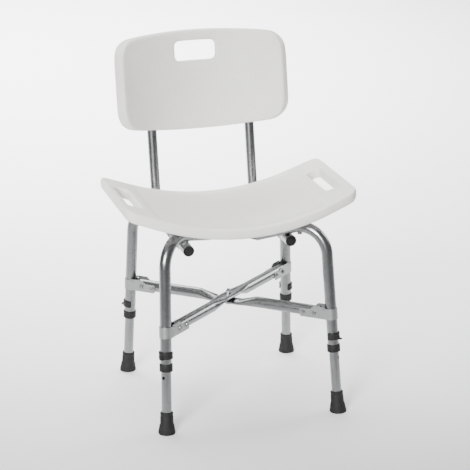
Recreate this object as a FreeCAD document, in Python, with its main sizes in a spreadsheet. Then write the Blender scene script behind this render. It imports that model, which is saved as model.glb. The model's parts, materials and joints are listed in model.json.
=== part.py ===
"""Height-adjustable shower chair: hollow plastic seat and back on a folded aluminium tube frame.

Millimetres, +Z up, the front of the chair faces -Y, left is -X.  The origin is the middle of the
footprint of the whole chair, on the floor.
"""
import FreeCAD, Part
import math
import os
import Sketcher

Vector = FreeCAD.Vector
Placement = FreeCAD.Placement
Rotation = FreeCAD.Rotation

# Driving dimensions: alias, value, what it is.
SIZES = [
    # legs and their lean
    ("foot_half_width", 199.5, "leg axis to mid plane on the floor, along X"),
    ("foot_half_depth", 194.4, "leg axis to mid plane on the floor, along Y"),
    ("lean_side", 0.0386, "inward lean along X per millimetre of height"),
    ("lean_front", 0.1029, "inward lean along Y per millimetre of height"),
    ("corner_height", 440.0, "height where leg and top run of a frame would meet"),
    ("bend_radius", 62.0, "centre line radius of the frame bends"),
    # tubes
    ("tube_radius", 12.7, "outer tube, outside"),
    ("tube_wall", 1.2, "wall of every tube"),
    ("slide_tube_radius", 11.1, "leg extension and back tubes, outside"),
    # flattened crossings
    ("flat_half_width", 17.6, "half width of a flattened tube"),
    ("flat_half_thick", 6.0, "half thickness of a flattened tube"),
    ("flat_run", 30.0, "half length of the flattened stretch"),
    ("blend_run", 42.0, "length over which a tube goes from round to flat"),
    ("crossing_height", 393.5, "contact plane of the two frame tubes at the middle"),
    ("crossing_bolt_radius", 4.0, "bolts through the two crossings"),
    # height adjustment
    ("leg_tube_end", 143.0, "lower end of the outer leg tube, along the leg"),
    ("pin_height", 178.0, "height pin, along the leg"),
    ("hole_pitch", 25.4, "spacing of the adjustment holes"),
    ("holes_each_way", 2.0, "adjustment holes on each side of the pinned one"),
    ("pin_radius", 3.4, "pin of the leg clip"),
    ("pin_clearance", 0.2, "around a pin or a bolt in its hole"),
    ("extension_top", 286.0, "upper end of the leg extension, along the leg"),
    ("glide_height", 10.0, "plastic glide on top of the leg extension"),
    ("glide_gap", 0.3, "glide to outer tube"),
    # collar and clip
    ("collar_wall", 2.0, "collar around the outer tube"),
    ("collar_height", 17.5, "height of the collar"),
    ("collar_lip", 1.8, "lip under the end of the outer tube"),
    ("part_gap", 0.1, "between pieces that sit on a tube"),
    ("clip_height", 16.0, "height of the leg clip"),
    ("clip_wall", 3.2, "wall of the leg clip"),
    ("clip_wrap", 256.0, "angle that the leg clip wraps"),
    ("clip_tab_length", 7.0, "pull tab, out of the clip"),
    ("clip_tab_width", 9.0, "pull tab, around the leg"),
    ("clip_tab_thick", 3.0, "pull tab, height"),
    # foot tip
    ("tip_radius", 19.0, "foot tip on the floor"),
    ("tip_neck_radius", 14.4, "foot tip at its top"),
    ("tip_height", 48.0, "foot tip, along the leg"),
    ("tip_skirt", 19.0, "height of the flared foot"),
    ("tip_floor", 9.0, "rubber under the disc in the tip"),
    ("disc_thick", 1.6, "steel disc in the tip"),
    # lower cross brace and its brackets
    ("brace_height", 228.0, "height of the cross brace"),
    ("brace_end_gap", 15.0, "leg tube surface to the end of a brace"),
    ("sheet_thick", 1.6, "sheet of the brackets and straps"),
    ("ear_reach", 71.0, "leg axis to the end of a bracket ear"),
    ("ear_height", 27.5, "bracket ear near the leg"),
    ("ear_end_height", 19.0, "bracket ear at its end"),
    ("ear_drop", 12.5, "brace axis to the lower edge of an ear"),
    ("ear_corner", 4.5, "corner radius of an ear"),
    ("ear_step", 40.0, "leg axis to the step of the ear"),
    ("band_height", 25.0, "bracket band around the leg"),
    ("bolt_near", 36.0, "leg axis to the first bracket bolt"),
    ("bolt_far", 63.0, "leg axis to the second bracket bolt"),
    ("bolt_radius", 3.0, "bracket bolts"),
    ("bolt_head_radius", 5.4, "heads and nuts"),
    ("bolt_head_height", 3.2, "heads and nuts"),
    ("brace_nut_height", 6.0, "nut on the crossing of the braces"),
    ("brace_thread", 4.0, "thread above that nut"),
    ("frame_nut_height", 4.2, "nut on the crossing of the frames"),
    ("frame_thread", 1.0, "thread above that nut"),
    ("crossing_nut_radius", 6.6, "nuts and heads at the crossings"),
    # seat
    ("seat_half_width", 264.0, "seat to its ends, along X"),
    ("seat_half_depth", 148.0, "half depth of the seat, along Y"),
    ("seat_bow", 24.0, "front edge of the seat: middle in front of its corners"),
    ("seat_low", 444.5, "top of the seat at the middle"),
    ("seat_crease", 190.0, "mid plane to the crease before the handles"),
    ("seat_dish", 33.0, "rise from the middle to the crease"),
    ("seat_thick", 24.0, "thickness of the hollow seat"),
    ("seat_corner", 26.0, "corner radius of the seat in plan"),
    ("seat_edge", 8.0, "edge rounding of the seat"),
    ("shell_wall", 3.6, "wall of the hollow seat and back"),
    ("grip_length", 152.0, "hand opening, along Y"),
    ("grip_width", 33.0, "hand opening, along X"),
    ("grip_inset", 19.0, "seat end to the hand opening"),
    ("grip_corner", 11.0, "corner radius of the hand opening"),
    ("drain_radius", 3.0, "drain holes"),
    ("channel_gap", 0.4, "frame tube to its channel in the seat"),
    ("seat_screw_run", 176.0, "middle to the seat screws, along the frame tubes"),
    ("seat_screw_radius", 2.5, "seat screws"),
    ("screw_saddle", 2.8, "frame tube to the head of a seat screw"),
    ("screw_bite", 9.0, "seat screws into the seat"),
    # sockets and back tubes
    ("socket_half_spread", 118.0, "mid plane to the sockets"),
    ("socket_gap", 0.42, "socket to the frame tube that crosses over it"),
    ("socket_front", 105.0, "front end of the sockets, from the mid plane"),
    ("socket_rear", 136.0, "rear end of the sockets, from the mid plane"),
    ("plug_recess", 0.8, "plug behind the end of the socket"),
    ("plug_depth", 16.0, "plug inside the socket"),
    ("strap_offset", 40.0, "straps to the mid plane, along Y"),
    ("strap_width", 18.0, "straps along Y"),
    ("strap_flange", 16.0, "strap flanges along X"),
    ("strap_drop", 0.3, "seat underside to the inner edge of the strap flanges"),
    ("back_corner_depth", 188.8, "where back tube and socket axes meet"),
    ("back_bend_radius", 48.0, "centre line radius of the back tube bends"),
    ("back_lean", 9.5, "lean of the back, degrees"),
    ("back_insert", 150.0, "back tube inside the sockets"),
    ("button_setback", 24.0, "front end of a back tube to its snap button"),
    ("button_radius", 3.6, "snap button"),
    ("button_proud", 3.0, "snap button outside the socket"),
    # back panel
    ("panel_half_width", 199.0, "back panel to its side, along X"),
    ("panel_height", 201.0, "side height of the back panel, along the lean"),
    ("panel_crown", 16.0, "extra height at the middle of the top and bottom edges"),
    ("panel_corner", 45.0, "corner radius of the back panel"),
    ("panel_thick", 28.0, "thickness of the hollow back panel"),
    ("panel_bow", 78.0, "how far the sides of the panel come forward"),
    ("panel_edge", 8.0, "edge rounding of the back panel"),
    ("panel_base", 206.3, "back corner to the bottom of the panel, along the lean"),
    ("tube_in_panel", 120.0, "back tube inside the panel"),
    ("handle_half_width", 52.0, "hand hole of the back panel"),
    ("handle_height", 40.0, "hand hole of the back panel"),
    ("handle_top", 22.0, "top edge of the panel to the hand hole"),
    ("handle_corner", 12.0, "corner radius of the hand hole"),
    ("panel_screw_recess", 2.0, "depth of the screw recess at the middle of the panel"),
    ("panel_screw_height", 30.0, "bottom of the panel to its screws"),
]

CORNERS = {
    "front_left": (-1, -1),
    "front_right": (1, -1),
    "rear_left": (-1, 1),
    "rear_right": (1, 1),
}
SIDES = {"left": -1, "right": 1}
DRAIN_HOLES = [(49, 83), (-49, 83), (49, -83), (-49, -83), (85, 36), (-85, 36), (85, -36), (-85, -36),
               (0, 50), (0, -50), (52, 0), (-52, 0)]

doc = FreeCAD.newDocument("ShowerChair")
sheet = doc.addObject("Spreadsheet::Sheet", "Sizes")
for row, (alias, value, meaning) in enumerate(SIZES, 1):
    sheet.set(f"A{row}", alias)
    sheet.set(f"B{row}", str(value))
    sheet.set(f"C{row}", meaning)
    sheet.setAlias(f"B{row}", alias)
doc.recompute()

subparts = []


def size(alias):
    """Value of one driving dimension."""
    return float(sheet.get(alias))


def make(kind, name, placement=None, **expressions):
    """Document object with its properties bound to sheet expressions."""
    item = doc.addObject(kind, name)
    for prop, expression in expressions.items():
        item.setExpression(prop, expression)
    if placement is not None:
        item.Placement = placement
    return item


def cylinder(name, placement, radius, height):
    return make("Part::Cylinder", name, placement, Radius=radius, Height=height)


def cut(name, base, tool):
    item = doc.addObject("Part::Cut", name)
    item.Base = base
    item.Tool = tool
    return item


def fuse(name, pieces):
    item = doc.addObject("Part::MultiFuse", name)
    item.Shapes = pieces
    return item


def group(name, pieces):
    item = doc.addObject("Part::Compound", name)
    item.Links = pieces
    return item


def feature(name, shape):
    item = doc.addObject("Part::Feature", name)
    item.Shape = shape
    return item


def keep(item, label):
    """Register an object as a finished sub-part under its own label."""
    item.Label = label
    subparts.append(item)
    return item


def frame_at(origin, along, toward):
    """Placement with +Z along one direction and +X as near as possible to another."""
    return Placement(origin, Rotation(toward, Vector(0, 0, 0), along, "ZXY"))


def lathe(name, outline, placement):
    """Body turned about its Z axis from (radius, height) expression pairs."""
    body = doc.addObject("PartDesign::Body", name)
    plane = next(f for f in body.Origin.OriginFeatures if f.Role == "XZ_Plane")
    sketch = body.newObject("Sketcher::SketchObject", name + "_outline")
    sketch.AttachmentSupport = [(plane, "")]
    sketch.MapMode = "FlatFace"
    spots = [Vector(sheet_value(name, r), sheet_value(name, z), 0) for r, z in outline]
    count = len(spots)
    for i in range(count):
        sketch.addGeometry(Part.LineSegment(spots[i], spots[(i + 1) % count]), False)
    for i in range(count):
        sketch.addConstraint(Sketcher.Constraint("Coincident", i, 2, (i + 1) % count, 1))
    for i, (r, z) in enumerate(outline):
        for axis, text, number in (("DistanceX", r, spots[i].x), ("DistanceY", z, spots[i].y)):
            index = sketch.addConstraint(Sketcher.Constraint(axis, -1, 1, i, 1, number))
            sketch.setExpression(f"Constraints[{index}]", text)
    turn = body.newObject("PartDesign::Revolution", name + "_turn")
    turn.Profile = sketch
    turn.ReferenceAxis = (sketch, ["V_Axis"])
    turn.Angle = 360
    body.Tip = turn
    body.Placement = placement
    return body


def sheet_value(owner, expression):
    """Number that a sheet expression gives now."""
    return float(sheet.evalExpression(expression.replace("Sizes.", "")))


# Leg geometry -------------------------------------------------------------------------------------

def leg_point(corner, height):
    """Point of a leg's axis at a height above the floor."""
    sx, sy = corner
    x = size("foot_half_width") - size("lean_side") * height
    y = size("foot_half_depth") - size("lean_front") * height
    return Vector(sx * x, sy * y, height)


def inward(corner):
    """Horizontal direction from a leg to the middle of the chair, at the brace."""
    spot = leg_point(corner, size("brace_height"))
    return Vector(-spot.x, -spot.y, 0).normalize()


def leg_axis(corner):
    return (leg_point(corner, 100.0) - leg_point(corner, 0.0)).normalize()


def leg_frame(corner, along=0.0):
    """Placement on a leg: +Z up the leg, +X toward the middle, at a distance along the leg."""
    axis = leg_axis(corner)
    return frame_at(leg_point(corner, 0.0) + axis * along, axis, inward(corner))


def shifted(placement, x, y, z, rotation=None):
    """Placement moved in its own axes."""
    return placement.multiply(Placement(Vector(x, y, z), rotation or Rotation()))


OUTWARD = Rotation(Vector(0, 1, 0), -90)
SIDEWAYS = Rotation(Vector(1, 0, 0), -90)
DOWN = Rotation(Vector(1, 0, 0), 180)


# Bent tubes ---------------------------------------------------------------------------------------

def rounded_path(points, radius):
    """Wire of straight runs joined by tangent arcs."""
    edges = []
    start = points[0]
    for before, corner, after in zip(points, points[1:], points[2:]):
        back = (before - corner).normalize()
        ahead = (after - corner).normalize()
        half = back.getAngle(ahead) / 2
        reach = radius / math.tan(half)
        centre = corner + (back + ahead).normalize() * (radius / math.sin(half))
        enter = corner + back * reach
        leave = corner + ahead * reach
        middle = centre + (corner - centre).normalize() * radius
        edges.append(Part.LineSegment(start, enter).toShape())
        edges.append(Part.Arc(enter, middle, leave).toShape())
        start = leave
    edges.append(Part.LineSegment(start, points[-1]).toShape())
    return Part.Wire(edges)


def oval(centre, along, half_width, half_height):
    """Oval wire across a direction, its width level."""
    side = along.cross(Vector(0, 0, 1)).normalize()
    place = Placement(centre, Rotation(side, Vector(0, 0, 0), along, "ZXY"))
    if half_width > half_height + 1e-6:
        curve = Part.Ellipse(Vector(0, 0, 0), half_width, half_height)
    else:
        curve = Part.Circle(Vector(0, 0, 0), Vector(0, 0, 1), half_width)
    wire = Part.Wire([curve.toShape()])
    wire.Placement = place
    return wire


def swept(points, bend, radius):
    """Solid round bar along a bent path."""
    path = rounded_path(points, bend)
    section = oval(points[0], (points[1] - points[0]).normalize(), radius, radius)
    return path.makePipeShell([section], True, False)


def crossing_bar(start, finish, middle_height, inset, arm):
    """Solid bar over the middle of the chair, flat where it crosses another.

    arm(end, inner) gives the round bar from one end to where the flattening starts.
    """
    solids = []
    half_wide = size("flat_half_width") - inset
    half_thick = size("flat_half_thick") - inset
    radius = size("tube_radius") - inset
    flat_ends = []
    for end in (start, finish):
        out = Vector(end.x, end.y, 0).normalize()
        flat = Vector(0, 0, middle_height) + out * size("flat_run")
        round_point = arm["point"](end, out, middle_height)
        travel = arm["travel"](end, round_point)
        solids.append(arm["solid"](end, round_point, radius))
        solids.append(Part.makeLoft([oval(round_point, travel, radius, radius),
                                     oval(flat, Vector(-out.x, -out.y, 0), half_wide, half_thick)], True))
        flat_ends.append(flat)
    run = flat_ends[1] - flat_ends[0]
    plate = Part.Face(oval(flat_ends[0], Vector(run).normalize(), half_wide, half_thick)).extrude(run)
    return solids[0].fuse(solids[1:] + [plate]).removeSplitter()


def frame_bar(corner, middle_height, inset):
    """Solid of one folded frame: leg, bend, sloping top, flat middle and the same again."""
    far = (-corner[0], -corner[1])

    def point(end, out, height):
        run = size("flat_run") + size("blend_run")
        return Vector(0, 0, height) + out * run

    def travel(end, round_point):
        return (round_point - end).normalize()

    def solid(end, round_point, radius):
        which = corner if (end.x > 0) == (corner[0] > 0) else far
        foot = leg_frame(which, size("leg_tube_end")).Base
        return swept([foot, end, round_point], size("bend_radius"), radius)

    arm = {"point": point, "travel": travel, "solid": solid}
    height = size("corner_height")
    return crossing_bar(leg_point(corner, height), leg_point(far, height), middle_height, inset, arm)


def brace_bar(corner, middle_height, inset):
    """Solid of one lower brace tube."""
    far = (-corner[0], -corner[1])
    gap = size("tube_radius") + size("brace_end_gap")

    def point(end, out, height):
        return Vector(0, 0, size("brace_height")) + out * (size("flat_run") + size("blend_run"))

    def travel(end, round_point):
        return (round_point - end).normalize()

    def solid(end, round_point, radius):
        run = round_point - end
        return Part.makeCylinder(radius, run.Length, end, run)

    arm = {"point": point, "travel": travel, "solid": solid}
    ends = [leg_point(c, size("brace_height")) + inward(c) * gap for c in (corner, far)]
    return crossing_bar(ends[0], ends[1], middle_height, inset, arm)


def vertical_hole(x, y, radius, low, high):
    return Part.makeCylinder(radius, high - low, Vector(x, y, low))


def seat_screw_spots():
    """Plan points of the four seat screws, on the sloping tops of the frames."""
    spots = {}
    for name, corner in CORNERS.items():
        out = leg_point(corner, size("corner_height"))
        out = Vector(out.x, out.y, 0).normalize() * size("seat_screw_run")
        spots[name] = out
    return spots


def frame_middle(corner):
    """Height of a frame's flattened middle: the front left to rear right frame lies on top."""
    up = 1 if corner[0] == corner[1] else -1
    return size("crossing_height") + up * (size("flat_half_thick") + size("part_gap") / 2)


def frame_top_at(corner, distance):
    """Height of the axis of a frame's sloping top at a plan distance from the middle."""
    low = size("flat_run") + size("blend_run")
    high = Vector(leg_point(corner, size("corner_height")))
    reach = math.hypot(high.x, high.y)
    start = frame_middle(corner)
    return start + (distance - low) / (reach - low) * (high.z - start)


def leg_frame_tube(label, corner):
    """One folded frame tube with its pin, screw and bolt holes."""
    far = (-corner[0], -corner[1])
    middle = frame_middle(corner)
    tube = frame_bar(corner, middle, 0.0)
    bore = frame_bar(corner, middle, size("tube_wall"))
    hole_radius = size("pin_radius") + size("pin_clearance")
    tools = [bore]
    for which in (corner, far):
        spot = leg_frame(which, size("pin_height"))
        tools.append(Part.makeCylinder(hole_radius, 2 * size("tube_radius"), spot.Base,
                                       spot.Rotation.multVec(Vector(-1, 0, 0))))
        name = next(n for n, c in CORNERS.items() if c == which)
        screw = seat_screw_spots()[name]
        height = frame_top_at(which, size("seat_screw_run"))
        tools.append(vertical_hole(screw.x, screw.y, size("seat_screw_radius") + size("pin_clearance"),
                                   height - 60, height + 60))
    tools.append(vertical_hole(0, 0, size("crossing_bolt_radius") + size("pin_clearance"),
                               middle - 20, middle + 20))
    keep(feature(label, tube.cut(tools)), label)


def brace_tube(label, corner):
    """One lower brace tube with its bolt holes."""
    far = (-corner[0], -corner[1])
    up = 1 if corner[0] == corner[1] else -1
    middle = size("brace_height") + up * (size("flat_half_thick") + size("part_gap") / 2)
    tube = brace_bar(corner, middle, 0.0)
    tools = [brace_bar(corner, middle, size("tube_wall"))]
    reach = 4 * size("tube_radius")
    for which in (corner, far):
        for distance in (size("bolt_near"), size("bolt_far")):
            place = bracket_frame(which)
            spot = place.multVec(Vector(distance, -reach / 2, 0))
            tools.append(Part.makeCylinder(size("bolt_radius") + size("pin_clearance"), reach, spot,
                                           place.Rotation.multVec(Vector(0, 1, 0))))
    tools.append(vertical_hole(0, 0, size("crossing_bolt_radius") + size("pin_clearance"),
                               middle - 20, middle + 20))
    keep(feature(label, tube.cut(tools)), label)


# Leg pieces ---------------------------------------------------------------------------------------

def leg_extension(name, corner):
    """Inner leg tube with its row of adjustment holes."""
    low = "Sizes.tip_floor + Sizes.disc_thick"
    place = leg_frame(corner, size("tip_floor") + size("disc_thick"))
    outer = cylinder(f"extension_bar_{name}", place, "Sizes.slide_tube_radius",
                     f"Sizes.extension_top - ({low})")
    tools = [cylinder(f"extension_bore_{name}", place, "Sizes.slide_tube_radius - Sizes.tube_wall",
                      f"Sizes.extension_top - ({low})")]
    each_way = int(size("holes_each_way"))
    for step in range(-each_way, each_way + 1):
        along = size("pin_height") + step * size("hole_pitch")
        spot = shifted(leg_frame(corner, along), 0, 0, 0, OUTWARD)
        tools.append(cylinder(f"extension_hole_{name}_{step + each_way}", spot,
                              "Sizes.pin_radius + Sizes.pin_clearance", "Sizes.tube_radius * 2"))
    tube = cut(f"extension_{name}", outer, fuse(f"extension_tools_{name}", tools))
    keep(tube, f"leg_extension_{name}")


def extension_glide(name, corner):
    """Plastic glide pushed into the top of a leg extension."""
    bore = "Sizes.slide_tube_radius - Sizes.tube_wall - Sizes.part_gap"
    body = lathe(f"glide_{name}", [
        ("Sizes.slide_tube_radius - Sizes.tube_wall - 3", "-Sizes.glide_height"),
        (bore, "-Sizes.glide_height"),
        (bore, "0.02"),
        ("Sizes.tube_radius - Sizes.tube_wall - Sizes.glide_gap", "0.02"),
        ("Sizes.tube_radius - Sizes.tube_wall - Sizes.glide_gap", "Sizes.glide_height"),
        ("Sizes.slide_tube_radius - Sizes.tube_wall - 3", "Sizes.glide_height"),
    ], leg_frame(corner, size("extension_top")))
    keep(body, f"extension_glide_{name}")


def foot_disc(name, corner):
    """Steel disc that keeps the tube from cutting through the rubber."""
    disc = cylinder(f"disc_{name}", leg_frame(corner, size("tip_floor")),
                    "Sizes.slide_tube_radius", "Sizes.disc_thick - 0.02")
    keep(disc, f"foot_disc_{name}")


def foot_tip(name, corner):
    """Flared rubber tip, cut level with the floor."""
    bore = "Sizes.slide_tube_radius + 0.03"
    body = lathe(f"tip_bar_{name}", [
        ("0", "-Sizes.tip_floor"),
        ("Sizes.tip_radius", "-Sizes.tip_floor"),
        ("Sizes.tip_radius", "5"),
        ("Sizes.tip_radius - 2.2", "Sizes.tip_skirt"),
        ("Sizes.tip_neck_radius + 0.9", "Sizes.tip_skirt + 3"),
        ("Sizes.tip_neck_radius", "Sizes.tip_height - 1.5"),
        ("Sizes.tip_neck_radius - 1", "Sizes.tip_height"),
        (bore, "Sizes.tip_height"),
        (bore, "Sizes.tip_floor - 0.02"),
        ("0", "Sizes.tip_floor - 0.02"),
    ], leg_frame(corner))
    spot = leg_point(corner, 0.0)
    side = 4 * size("tip_radius")
    slab = make("Part::Box", f"tip_floor_{name}",
                Placement(spot - Vector(side / 2, side / 2, side / 2), Rotation()),
                Length="Sizes.tip_radius * 4", Width="Sizes.tip_radius * 4", Height="Sizes.tip_radius * 2")
    keep(cut(f"tip_{name}", body, slab), f"foot_tip_{name}")


def leg_collar(name, corner):
    """Plastic end collar with a lip under the outer tube."""
    grip = "Sizes.tube_radius + Sizes.part_gap"
    lip = "Sizes.slide_tube_radius + Sizes.glide_gap"
    outside = "Sizes.tube_radius + Sizes.part_gap + Sizes.collar_wall"
    body = lathe(f"collar_{name}", [
        (lip, "-Sizes.collar_lip"),
        (outside, "-Sizes.collar_lip"),
        (outside, "Sizes.collar_height - Sizes.collar_lip - 1"),
        (outside + " - 1", "Sizes.collar_height - Sizes.collar_lip"),
        (grip, "Sizes.collar_height - Sizes.collar_lip"),
        (grip, "-0.05"),
        (lip, "-0.05"),
    ], leg_frame(corner, size("leg_tube_end")))
    keep(body, f"leg_collar_{name}")


def leg_clip(name, corner):
    """Springy plastic clip: an open band with a pull tab and the height pin."""
    grip = "Sizes.tube_radius + Sizes.part_gap"
    low = size("pin_height") - size("clip_height") / 2
    start = Rotation(Vector(0, 0, 1), 180 - size("clip_wrap") / 2)
    band = make("Part::Cylinder", f"clip_band_{name}", shifted(leg_frame(corner, low), 0, 0, 0, start),
                Radius=f"{grip} + Sizes.clip_wall", Height="Sizes.clip_height", Angle="Sizes.clip_wrap")
    bore = cylinder(f"clip_bore_{name}", leg_frame(corner, low), grip, "Sizes.clip_height")
    ring = cut(f"clip_ring_{name}", band, bore)
    spot = shifted(leg_frame(corner, size("pin_height")), -size("slide_tube_radius") + 4.0, 0, 0, OUTWARD)
    pin = cylinder(f"clip_pin_{name}", spot, "Sizes.pin_radius",
                   "Sizes.tube_radius - Sizes.slide_tube_radius + 4 + Sizes.clip_wall")
    outside = size("tube_radius") + size("part_gap") + size("clip_wall")
    tab_place = shifted(leg_frame(corner, size("pin_height") - size("clip_height") / 2),
                        -outside - size("clip_tab_length") + 1.5, -size("clip_tab_width") / 2, 0)
    tab = make("Part::Box", f"clip_tab_{name}", tab_place, Length="Sizes.clip_tab_length",
               Width="Sizes.clip_tab_width", Height="Sizes.clip_tab_thick")
    keep(fuse(f"clip_{name}", [ring, pin, tab]), f"leg_clip_{name}")


# Brackets and their bolts -------------------------------------------------------------------------

def bracket_frame(corner):
    """Placement at a brace end: +X along the brace toward the middle, +Y across the ears."""
    spot = leg_point(corner, size("brace_height"))
    side = leg_axis(corner).cross(inward(corner)).normalize()
    return Placement(spot, Rotation(inward(corner), side, Vector(0, 0, 0), "XYZ"))


def rounded_end(box, base, ends):
    """Ear plate with the corners at its free end rounded."""
    doc.recompute()
    far = float(box.Length) + base.inverse().multVec(box.Placement.Base).x
    middle = base.inverse().multVec(box.Shape.CenterOfMass).z
    picked = []
    for index, edge in enumerate(box.Shape.Edges, 1):
        spot = base.inverse().multVec(edge.CenterOfMass)
        across = edge.Length < float(box.Width) + 0.01
        word = "high" if spot.z > middle else "low"
        if across and spot.x > far - 0.01 and word in ends:
            picked.append((index, size("ear_corner"), size("ear_corner")))
    item = doc.addObject("Part::Fillet", box.Name + "_rounded")
    item.Base = box
    item.Edges = picked
    return item


def brace_bracket(name, corner):
    """Sheet bracket: a band round the leg with two ears that hold the brace between them."""
    grip = "Sizes.tube_radius + Sizes.part_gap"
    along = size("brace_height") / leg_axis(corner).z - size("band_height") / 2
    half_turn = Rotation(Vector(0, 0, 1), 90)
    band = make("Part::Cylinder", f"band_{name}", shifted(leg_frame(corner, along), 0, 0, 0, half_turn),
                Radius=f"{grip} + Sizes.sheet_thick", Height="Sizes.band_height", Angle="180")
    bore = cylinder(f"band_bore_{name}", leg_frame(corner, along), grip, "Sizes.band_height")
    ring = cut(f"band_ring_{name}", band, bore)
    base = bracket_frame(corner)
    pieces = [ring]
    below = size("ear_drop")
    for word, sign in (("a", -1), ("b", 1)):
        inner_face = size("tube_radius") + size("part_gap")
        y = inner_face if sign > 0 else -inner_face - size("sheet_thick")
        low = make("Part::Box", f"ear_low_{word}_{name}", shifted(base, -1.5, y, -below),
                   Length="Sizes.ear_reach + 1.5", Width="Sizes.sheet_thick", Height="Sizes.ear_end_height")
        high = make("Part::Box", f"ear_high_{word}_{name}", shifted(base, 8.0, y, -below),
                    Length="Sizes.ear_step - 8", Width="Sizes.sheet_thick", Height="Sizes.ear_height")
        pieces += [rounded_end(low, base, ("low", "high")), rounded_end(high, base, ("high",))]
    blank = fuse(f"bracket_blank_{name}", pieces)
    holes = []
    for word, distance in (("near", size("bolt_near")), ("far", size("bolt_far"))):
        spot = shifted(base, distance, -2 * size("tube_radius"), 0, SIDEWAYS)
        holes.append(cylinder(f"ear_hole_{word}_{name}", spot, "Sizes.bolt_radius + Sizes.pin_clearance",
                              "Sizes.tube_radius * 4"))
    spot = shifted(base, 13.0, -2 * size("tube_radius"), below - 2.5, SIDEWAYS)
    holes.append(cylinder(f"ear_spare_{name}", spot, "1.6", "Sizes.tube_radius * 4"))
    leg_clear = cylinder(f"ear_leg_{name}", leg_frame(corner, along - 30), grip, "Sizes.band_height + 60")
    tools = fuse(f"bracket_tools_{name}", holes + [leg_clear])
    keep(cut(f"bracket_{name}", blank, tools), f"brace_bracket_{name}")


def bracket_bolts():
    """Eight bolts and eight nuts through the ears and the ends of the braces."""
    bolts, nuts = [], []
    face = size("tube_radius") + size("part_gap") + size("sheet_thick")
    for name, corner in CORNERS.items():
        for word, distance in (("near", size("bolt_near")), ("far", size("bolt_far"))):
            tag = f"{name}_{word}"
            place = shifted(bracket_frame(corner), distance, -face, 0, SIDEWAYS)
            shank = cylinder(f"bolt_shank_{tag}", place, "Sizes.bolt_radius",
                             "2 * (Sizes.tube_radius + Sizes.part_gap + Sizes.sheet_thick) + 5")
            head_place = shifted(place, 0, 0, -size("bolt_head_height") - 0.02)
            head = cylinder(f"bolt_head_{tag}", head_place, "Sizes.bolt_head_radius",
                            "Sizes.bolt_head_height")
            joined = fuse(f"bolt_{tag}", [shank, head, cylinder(f"bolt_root_{tag}",
                          shifted(place, 0, 0, -0.5), "Sizes.bolt_radius", "1")])
            bolts.append(joined)
            nut_place = shifted(place, 0, 0, 2 * face + 0.02)
            nut = make("Part::Prism", f"nut_bar_{tag}", nut_place, Circumradius="Sizes.bolt_head_radius",
                       Height="Sizes.bolt_head_height")
            nut.Polygon = 6
            bore = cylinder(f"nut_bore_{tag}", nut_place, "Sizes.bolt_radius + 0.02",
                            "Sizes.bolt_head_height")
            nuts.append(cut(f"nut_{tag}", nut, bore))
    keep(group("bracket_bolt_group", bolts), "bracket_bolts")
    keep(group("bracket_nut_group", nuts), "bracket_nuts")


def crossing_bolt(word, contact):
    """Bolt and nut through the two flattened tubes at a crossing, head below."""
    grip = 2 * size("flat_half_thick") + size("part_gap") / 2 + 0.02
    head_low = contact - grip - size("bolt_head_height")
    shank = cylinder(f"{word}_shank", Placement(Vector(0, 0, contact - grip - 0.5), Rotation()),
                     "Sizes.crossing_bolt_radius",
                     f"4 * Sizes.flat_half_thick + Sizes.{word}_nut_height + Sizes.{word}_thread + 0.5")
    head = cylinder(f"{word}_head", Placement(Vector(0, 0, head_low), Rotation()),
                    "Sizes.crossing_nut_radius", "Sizes.bolt_head_height")
    keep(fuse(f"{word}_whole", [shank, head]), f"{word}_bolt")
    place = Placement(Vector(0, 0, contact + grip), Rotation())
    nut = make("Part::Prism", f"{word}_nut_bar", place, Circumradius="Sizes.crossing_nut_radius",
               Height=f"Sizes.{word}_nut_height")
    nut.Polygon = 6
    bore = cylinder(f"{word}_nut_bore", place, "Sizes.crossing_bolt_radius + 0.02",
                    f"Sizes.{word}_nut_height")
    keep(cut(f"{word}_nut_whole", nut, bore), f"{word}_nut")


# Seat ---------------------------------------------------------------------------------------------

def seat_radius():
    """Radius of the dish of the seat."""
    crease, dish = size("seat_crease"), size("seat_dish")
    return (crease ** 2 + dish ** 2) / (2 * dish)


def seat_slab(inset):
    """Dished slab of the seat; a positive inset gives the hollow inside it."""
    crease = size("seat_crease")
    low = size("seat_low")
    radius = seat_radius()
    centre = Vector(0, 0, low + radius)
    slope = math.asin(crease / radius)
    end = size("seat_half_width") - inset

    def arc(r):
        ends = [centre + Vector(s * r * math.sin(slope), 0, -r * math.cos(slope)) for s in (-1, 1)]
        return ends[0], centre - Vector(0, 0, r), ends[1]

    def tip(point, sign):
        run = end - abs(point.x)
        return Vector(sign * end, 0, point.z + run * math.tan(slope))

    upper = arc(radius + inset)
    under = arc(radius + size("seat_thick") - inset)
    corners = [tip(upper[0], -1), tip(upper[2], 1), tip(under[2], 1), tip(under[0], -1)]
    edges = [
        Part.LineSegment(corners[0], upper[0]).toShape(),
        Part.Arc(*upper).toShape(),
        Part.LineSegment(upper[2], corners[1]).toShape(),
        Part.LineSegment(corners[1], corners[2]).toShape(),
        Part.LineSegment(corners[2], under[2]).toShape(),
        Part.Arc(under[2], under[1], under[0]).toShape(),
        Part.LineSegment(under[0], corners[3]).toShape(),
        Part.LineSegment(corners[3], corners[0]).toShape(),
    ]
    rear = size("seat_half_depth") - inset
    reach = 3 * size("seat_half_depth")
    profile = Part.Face(Part.Wire(edges))
    profile.translate(Vector(0, rear - reach, 0))
    slab = profile.extrude(Vector(0, reach, 0)).common(bowed_front(end, rear, inset))
    upright = [e for e in slab.Edges if is_upright(e) and abs(e.CenterOfMass.x) > end - 1]
    slab = slab.makeFillet(size("seat_corner") - inset, upright)
    rim = [e for e in slab.Edges if on_rim(e, end)]
    return slab.makeFillet(size("seat_edge") - inset, rim)


def is_upright(edge):
    start, finish = edge.Vertexes[0].Point, edge.Vertexes[-1].Point
    return abs(start.x - finish.x) < 0.01 and abs(start.y - finish.y) < 0.01


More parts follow.
